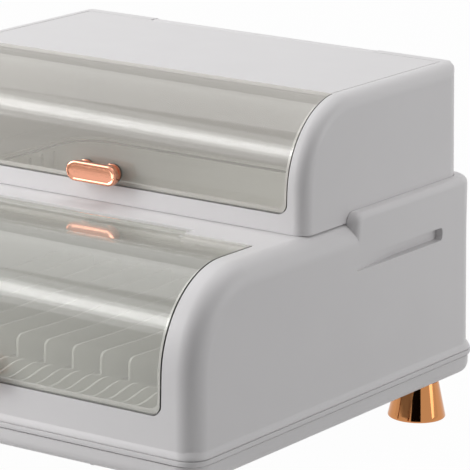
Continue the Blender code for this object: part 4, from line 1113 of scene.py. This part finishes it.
class DRAINER_OT_basket(PieceOperator, bpy.types.Operator):
    """Model the drop-in bowl basket: its rim, its tub, and its rows of slots"""

    bl_idname = "drainer.basket"
    bl_label = "Bowl basket"

    def execute(self, context):
        inside = context.scene.drainer_inside
        low, high = BASKET
        rim, floor, top, groove = inside.basket_rim, inside.basket_floor, high.z, inside.undercut
        edge, dip = 0.0010, 0.0006  # the width and drop of the rim's inner edge
        groove_top, groove_foot = 0.0014, 0.0034  # below the rim's top
        bend, bend_drop = ((0.0005, 0.0018), (0.0012, 0.0014), (0.0023, 0.0008)), 0.004  # from wall to floor
        draft = 0.0015  # how far the walls draw in towards the floor
        middle, half, deep = (low.y + high.y) / 2, high.x - rim, (high.y - low.y) / 2 - rim
        sheet = add_sheet("bowl_basket_sheet", (0, middle, top), (high.x * 2, high.y - low.y))
        with editing(sheet):
            pick("VERT", lambda vert: True)
            bevel(inside.basket_corner + rim, 12, "VERTICES")
            bpy.ops.mesh.select_mode(type="FACE")
            bpy.ops.mesh.select_all(action="SELECT")
            inset(rim - edge)
            inset(edge, z=-dip)
            was = 0.0
            for drop, out in ((groove_top - dip, 0.0), (0.0, groove), (groove_foot - groove_top, groove),
                              (0.0, 0.0), (top - groove_foot - floor - bend_drop, -draft)):
                extrude(z=-drop)
                resize((half + out) / (half + was), (deep + out) / (deep + was), 1, (0, middle, 0))
                was = out
            for width, drop in bend:
                inset(width, z=-drop)
        solidify(sheet, inside.basket_wall)
        point_outwards(sheet)
        slots, drains, wide, thin = 5, 13, inside.slot, inside.drain
        y, x = middle - inside.slot_pitch * (slots - 1) / 2, -inside.drain_pitch * (drains - 1) / 2
        slot = add_rounded("slot_cutter", (low.x - 0.01, y - wide / 2, inside.slot_low),
                           (high.x + 0.01, y + wide / 2, inside.slot_high), "x", wide * 0.49)
        rows = join([*copies(slot, slots, y=inside.slot_pitch), slot], "slot_cutters")
        combine(sheet, rows, "DIFFERENCE")
        drain = add_rounded("drain_cutter", (x - thin / 2, middle - inside.drain_half, floor - 0.006),
                            (x + thin / 2, middle + inside.drain_half, floor + 0.002), "z", thin * 0.49)
        rows = join([*copies(drain, drains, x=inside.drain_pitch), drain], "drain_cutters")
        combine(sheet, rows, "DIFFERENCE")
        soften(sheet, width=0.0003, angle=50)
        finish(sheet, inner_polypropylene, "housing", "bowl_basket", angle=36)
        # painted shade: the faces of the groove under the rim get the dark rubber finish, standing for the
        # shadow line along the rim
        past, near = groove + 0.0004, 0.0001
        finish_part(sheet, moulded_rubber, lambda face: (
            abs(face.center.x) < half + past and abs(face.center.y - middle) < deep + past
            and top - groove_foot - near < face.center.z < top - groove_top + near))
        return {"FINISHED"}


class DRAINER_OT_rack(PieceOperator, bpy.types.Operator):
    """Model the plate rack: one tall fin and one wave fin, copied across, with bars, rails and legs"""

    bl_idname = "drainer.rack"
    bl_label = "Plate rack"

    def execute(self, context):
        inside = context.scene.drainer_inside
        low, high = RACK
        bottom, width = inside.rack_underside, inside.bar
        top = bottom + inside.bar_height
        reach = high.x - width - inside.rail_overhang
        pitch = reach * 2 / (inside.tall_fins - 1)
        soft, leg, foot = 0.0008, 0.0050, 0.001  # soft edges, the legs' radius, and the height of their feet
        set_back = 0.0008
        front, rear = low.y + set_back, high.y
        tall = self.fin("tall_fin", -reach, bottom, self.tall_profile(front, rear, high.z), inside.fin)
        pieces = [tall, *copies(tall, inside.tall_fins, x=pitch)]
        wave = self.fin("wave_fin", -reach + pitch / 2, bottom, self.wave(front, top), inside.fin)
        pieces += [wave, *copies(wave, inside.tall_fins - 1, x=pitch)]
        for share in (0.0, 0.24, 0.62, 1.0):
            y = front + (rear - front - width) * share
            pieces.append(add_rounded("bar", (low.x, y, bottom), (high.x, y + width, top), "x", soft, 2))
        for side in (-1, 1):
            pieces.append(add_rounded("rail", (side * (high.x - width), front, bottom),
                                      (side * high.x, rear, top), "y", soft, 2))
            for share in (0.06, 0.5, 0.94):
                place = (side * (high.x - leg), front + (rear - front) * share, 0)
                stations = ((bottom + foot, leg), (low.z + foot, leg), (low.z, leg * 0.8))
                pieces.append(add_turned("leg", "z", place, stations, 24))
        rack = join(pieces, "plate_rack_shape")
        finish(rack, inner_polypropylene, "housing", "plate_rack", angle=40)
        return {"FINISHED"}

    @staticmethod
    def wave(front, end_height):
        """The crests and hollows along the front of every fin, as (y, height) points."""
        # each knot's distance from the front, and its height
        knots = ((0.0, 0.0925), (0.021, 0.0895), (0.052, 0.0942), (0.087, end_height))
        points = []
        for (start, first), (end, last) in zip(knots, knots[1:]):
            for step in range(7):
                share = step / 7
                ease = (1 - math.cos(math.pi * share)) / 2
                points.append((front + start + (end - start) * share, first + (last - first) * ease))
        return [*points, (front + knots[-1][0], end_height)]

    @staticmethod
    def tall_profile(front, rear, top):
        """A tall fin's outline: the wave, a round shoulder, a long crest with two dips, a round rear end."""
        corner, dips = 0.006, 0.0007
        points = DRAINER_OT_rack.wave(front, 0.0840)
        shoulder = points[-1][0]
        span = rear - shoulder - corner * 2

        def turned(edge, into, turn):
            angle = math.radians(turn)
            return edge + into * corner * (1 - math.cos(angle)), top - corner * (1 - math.sin(angle))

        points += [turned(shoulder, 1, turn) for turn in (5, 20, 35, 50, 65, 80, 90)]
        for step in range(1, 24):
            dip = dips * (1 - math.cos(4 * math.pi * step / 24))
            points.append((shoulder + corner + span * step / 24, top - dip))
        return points + [turned(rear, -1, turn) for turn in range(90, -15, -15)]

    @staticmethod
    def fin(name, x, bottom, profile, thickness):
        """A fin drawn column by column along its profile, then given its thickness and its soft edges."""
        (start, height), (second, _) = profile[:2]
        sheet = add_sheet(name, (x, (start + second) / 2, (bottom + height) / 2),
                          (height - bottom, second - start), (0, QUARTER, 0))
        with editing(sheet):
            past = profile[0]
            for place in profile[1:]:
                if place != profile[1]:
                    pick("EDGE", on(y=past[0]))
                    extrude(y=place[0] - past[0])
                pick("VERT", lambda vert: abs(vert.co.y - place[0]) < NEAR and vert.co.z > bottom + NEAR)
                move(z=place[1] - past[1])
                past = place
        solidify(sheet, thickness, 0.0)
        modify(sheet, "BEVEL", width=0.0006, segments=2, limit_method="ANGLE", angle_limit=math.radians(60))
        return sheet


class DRAINER_OT_hardware(PieceOperator, bpy.types.Operator):
    """Give the screws and hinge pins, which keep their CAD shape, their steel"""

    bl_idname = "drainer.hardware"
    bl_label = "Screws and pins"

    def execute(self, context):
        found = [piece for name, piece in frame["nodes"].items() if "screw" in name or "pin" in name]
        if not found:
            self.report({"ERROR"}, "no screws or pins in the frame")
            return {"CANCELLED"}
        for piece in found:
            dress(piece, turned_steel, 40)
        return {"FINISHED"}


def add_lamp(name, size, place, target, power):
    """A rectangular softbox that faces a point."""
    data = bpy.data.lights.new(name, "AREA")
    data.shape = "RECTANGLE"
    data.size, data.size_y = size
    data.energy = power
    lamp = bpy.data.objects.new(name, data)
    bpy.context.scene.collection.objects.link(lamp)
    lamp.location = place
    lamp.rotation_euler = (Vector(target) - Vector(place)).to_track_quat("-Z", "Y").to_euler()
    return lamp


class DRAINER_OT_stage(PieceOperator, bpy.types.Operator):
    """Add the floor, lamps, world and camera"""

    bl_idname = "drainer.stage"
    bl_label = "Stage"

    def execute(self, context):
        scene = context.scene
        self.add_floor()
        self.add_world(scene)
        strips = (0, -0.1, 0.2)  # where the three strips point: their sum is one bright line with a soft halo
        add_lamp("overhead_softbox", (1.4, 1.3), (0.35, 0.55, 2.4), (0, 0.05, 0.2), 9.8)
        add_lamp("top_left_softbox", (1.85, 1.1), (-1.35, 0.08, 2.0), (0, 0, 0.2), 10.5)
        add_lamp("strip_core", (0.9, 0.30), (-1.33, -1.47, 1.53), strips, 3.3)
        add_lamp("strip_middle", (0.95, 0.60), (-1.345, -1.485, 1.545), strips, 4.6)
        add_lamp("strip_halo", (1.0, 1.15), (-1.36, -1.50, 1.56), strips, 5.2)
        add_lamp("left_softbox", (1.0, 1.0), (-1.95, -1.42, 0.7), (0, 0, 0.15), 25.5)
        add_lamp("side_softbox", (1.2, 1.2), (2.0, 0.9, 0.7), (0, 0, 0.15), 8.5)
        self.add_flag()
        scene.view_settings.view_transform = "Standard"
        self.add_camera(scene)
        return {"FINISHED"}

    @staticmethod
    def add_floor():
        """A wide pale floor: plain white seen directly, with the soft shadow kept."""
        plain = 0.98  # the share of plain white; the rest shows the shadow
        made, tree, output = start_material("floor_paper_white")
        matt = add_node(tree, "ShaderNodeBsdfDiffuse", {"Color": chosen("paper")})
        glow = add_node(tree, "ShaderNodeEmission", {"Color": chosen("floor"), "Strength": 1.0})
        path = add_node(tree, "ShaderNodeLightPath")
        seen = path.outputs["Is Camera Ray"]
        for other in ("Is Glossy Ray", "Is Transmission Ray"):
            either = add_node(tree, "ShaderNodeMath", {0: seen, 1: path.outputs[other]}, operation="MAXIMUM")
            seen = either.outputs[0]
        share = add_node(tree, "ShaderNodeMath", {0: seen, 1: plain}, operation="MULTIPLY")
        mixed = mix(tree, share.outputs[0], matt.outputs["BSDF"], glow.outputs["Emission"])
        tree.links.new(mixed, output.inputs["Surface"])
        floor = add_sheet("floor", (0, 0, 0), (12, 12))
        floor.data.materials.append(made)

    @staticmethod
    def add_flag():
        """A black studio flag before the right corner, out of the camera's sight: it darkens that edge."""
        half, tall, away, turn = 0.36, 1.1, 0.95, math.radians(42)
        made, tree, output = start_material("black_velvet_flag")
        cloth = add_node(tree, "ShaderNodeBsdfDiffuse", {"Color": chosen("flag")})
        tree.links.new(cloth.outputs["BSDF"], output.inputs["Surface"])
        flag = add_box("flag", (-half, -0.005, 0.0), (half, 0.005, tall))
        with editing(flag):
            bevel(0.003, 2)
        flag.data.transform(Matrix.Rotation(turn, 4, "Z") @ Matrix.Translation((0, -away, 0)))
        flag.data.materials.append(made)
        flag.visible_camera = False

    @staticmethod
    def add_world(scene):
        """Even surrounding light, plain white to look at."""
        world = bpy.data.worlds.new("surroundings")
        world.use_nodes = True
        tree = world.node_tree
        tree.nodes.clear()
        path = add_node(tree, "ShaderNodeLightPath")
        seen = between(tree, path.outputs["Is Camera Ray"], 0.36, 1.0)
        mirrored = between(tree, path.outputs["Is Glossy Ray"], 0.0, 0.5)
        strength = add_node(tree, "ShaderNodeMath", {0: seen, 1: mirrored}).outputs[0]
        light = add_node(tree, "ShaderNodeBackground", {"Color": linear("#FFFFFF"), "Strength": strength})
        output = add_node(tree, "ShaderNodeOutputWorld", {"Surface": light.outputs["Background"]})
        output.is_active_output = True
        scene.world = world

    @staticmethod
    def add_camera(scene):
        """The camera at the photograph's viewing angle, from above and to the right of the front."""
        azimuth, pitch, roll = math.radians(33.716), math.radians(13.958), math.radians(1.142)
        ahead = math.cos(pitch)
        forward = Vector((-math.sin(azimuth) * ahead, math.cos(azimuth) * ahead, -math.sin(pitch)))
        level = Vector((math.cos(azimuth), math.sin(azimuth), 0))
        down = forward.cross(level)
        across = math.cos(roll) * level - math.sin(roll) * down
        down = math.sin(roll) * level + math.cos(roll) * down
        data = bpy.data.cameras.new("camera")
        data.sensor_width = 36
        data.lens = 275.97
        data.clip_end = 50
        camera = bpy.data.objects.new("camera", data)
        scene.collection.objects.link(camera)
        camera.matrix_world = Matrix((across, -down, -forward)).transposed().to_4x4()
        camera.location = (1.7138, -2.4026, 0.9050)
        scene.camera = camera


OPERATORS = (
    DRAINER_OT_base, DRAINER_OT_lower_body, DRAINER_OT_upper_body, DRAINER_OT_rack, DRAINER_OT_basket,
    DRAINER_OT_lower_lid, DRAINER_OT_upper_lid, DRAINER_OT_handles, DRAINER_OT_feet, DRAINER_OT_hardware,
    DRAINER_OT_stage,
)
GROUPS = (
    ("drainer_body", DrainerBody), ("drainer_lids", DrainerLids), ("drainer_fittings", DrainerFittings),
    ("drainer_inside", DrainerInside), ("drainer_colours", DrainerColours),
)


class DRAINER_PT_panel(bpy.types.Panel):
    """The drainer's sizes, colours and building steps"""

    bl_idname = "DRAINER_PT_panel"
    bl_label = "Dish Drainer"
    bl_space_type = "VIEW_3D"
    bl_region_type = "UI"
    bl_category = "Dish Drainer"

    def draw(self, context):
        """List the settings, then one button for each step."""
        for name, group in GROUPS:
            box = self.layout.box()
            for setting in group.__annotations__:
                box.prop(getattr(context.scene, name), setting)
        for operator in OPERATORS:
            self.layout.operator(operator.bl_idname)


def register():
    """Register the add-on's classes and hang its settings on the scene."""
    for name, group in GROUPS:
        bpy.utils.register_class(group)
        setattr(bpy.types.Scene, name, PointerProperty(type=group))
    for each in (*OPERATORS, DRAINER_PT_panel):
        bpy.utils.register_class(each)


def unregister():
    """Take the add-on's classes and settings out again."""
    for each in reversed((*OPERATORS, DRAINER_PT_panel)):
        bpy.utils.unregister_class(each)
    for name, group in reversed(GROUPS):
        delattr(bpy.types.Scene, name)
        bpy.utils.unregister_class(group)


def main():
    register()
    for operator in OPERATORS:
        step = getattr(bpy.ops.drainer, operator.bl_idname.split(".")[1])
        if step() != {"FINISHED"}:
            raise RuntimeError(operator.bl_label + " did not finish")
    bpy.context.view_layer.update()


if __name__ == "__main__":
    main()
